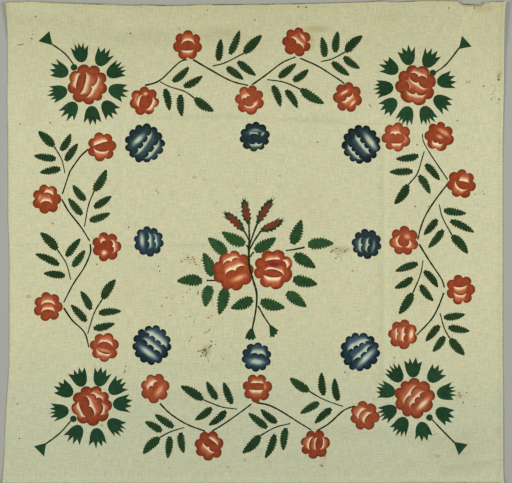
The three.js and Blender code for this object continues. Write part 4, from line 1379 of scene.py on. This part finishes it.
printed = attribute("print")
thin = sums("SUBTRACT", 1.02, printed.outputs["Alpha"])
specks = sums("MULTIPLY", sums("SUBTRACT", grain, 0.5), sums("MULTIPLY", thin, 0.9))
cover = sums("MULTIPLY", printed.outputs["Alpha"], sums("ADD", specks, 1.0), clamp=True)
dabs = sums("ADD", sums("MULTIPLY", noise(150, 3), 1.9), sums("MULTIPLY", grain, 1.0))
dabs = sums("SUBTRACT", dabs, 0.95, clamp=True)
worn = blend(dabs, (0.80, 0.72, 0.70), (1.20, 1.30, 1.32))
paint_colour = blend(1.0, printed.outputs["Color"], worn, "MULTIPLY")
surface = blend(cover, ground, paint_colour)
# Painted shade: both ends are darkened, print and all, for the light that falls off towards them, the
# top one a little browner.
height = nodes.new("ShaderNodeSeparateXYZ")
links.new(cloth_place.outputs["Object"], height.inputs[0])
for start, end, falloff_tint in PAINTED_FALLOFF_ENDS:
    reach = nodes.new("ShaderNodeMapRange")
    reach.interpolation_type = "SMOOTHSTEP"
    reach.inputs["From Min"].default_value = start
    reach.inputs["From Max"].default_value = end
    links.new(height.outputs["Y"], reach.inputs["Value"])
    painted_falloff = blend(reach.outputs["Result"], (1.0, 1.0, 1.0), falloff_tint)
    surface = blend(1.0, surface, painted_falloff, "MULTIPLY")
links.new(surface, shader.inputs["Base Color"])
links.new(sums("SUBTRACT", 0.93, sums("MULTIPLY", cover, 0.08)), shader.inputs["Roughness"])
shader.inputs["Specular IOR Level"].default_value = 0.04
relief = nodes.new("ShaderNodeBump")
relief.inputs["Strength"].default_value = 0.35
relief.inputs["Distance"].default_value = 0.0003
links.new(threads, relief.inputs["Height"])
links.new(relief.outputs["Normal"], shader.inputs["Normal"])
mesh.materials.append(cotton)

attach(cloth, "root")
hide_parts("cover_cloth")

# The floor and the light.
# A plain pale floor, two large soft lamps at the sides and a little light from all round.
bpy.ops.object.select_all(action="DESELECT")
bpy.ops.mesh.primitive_plane_add(size=6, location=(0, 0, 0))
floor = bpy.context.object
floor.name = "floor"
paper = bpy.data.materials.new("floor")
paper.use_nodes = True
paper.node_tree.nodes["Principled BSDF"].inputs["Base Color"].default_value = (0.38, 0.385, 0.345, 1)
paper.node_tree.nodes["Principled BSDF"].inputs["Roughness"].default_value = 0.95
floor.data.materials.append(paper)


def lamp(name, place, width, length, power):
    data = bpy.data.lights.new(name, "AREA")
    data.shape = "RECTANGLE"
    data.size = width
    data.size_y = length
    data.energy = power
    light = bpy.data.objects.new(name, data)
    bpy.context.scene.collection.objects.link(light)
    light.location = place
    light.rotation_euler = (Vector((0, 0, 0)) - Vector(place)).to_track_quat("-Z", "Y").to_euler()


lamp("lamp_right", (2.18, 0.45, 1.72), 1.05, 1.05, 48)
lamp("lamp_left", (-2.18, 0.22, 1.8), 1.05, 1.05, 47.5)
world = bpy.data.worlds.new("light_all_round")
world.use_nodes = True
world.node_tree.nodes["Background"].inputs["Color"].default_value = (1, 1, 1, 1)
world.node_tree.nodes["Background"].inputs["Strength"].default_value = 0.22
bpy.context.scene.world = world
bpy.context.scene.view_settings.view_transform = "Standard"
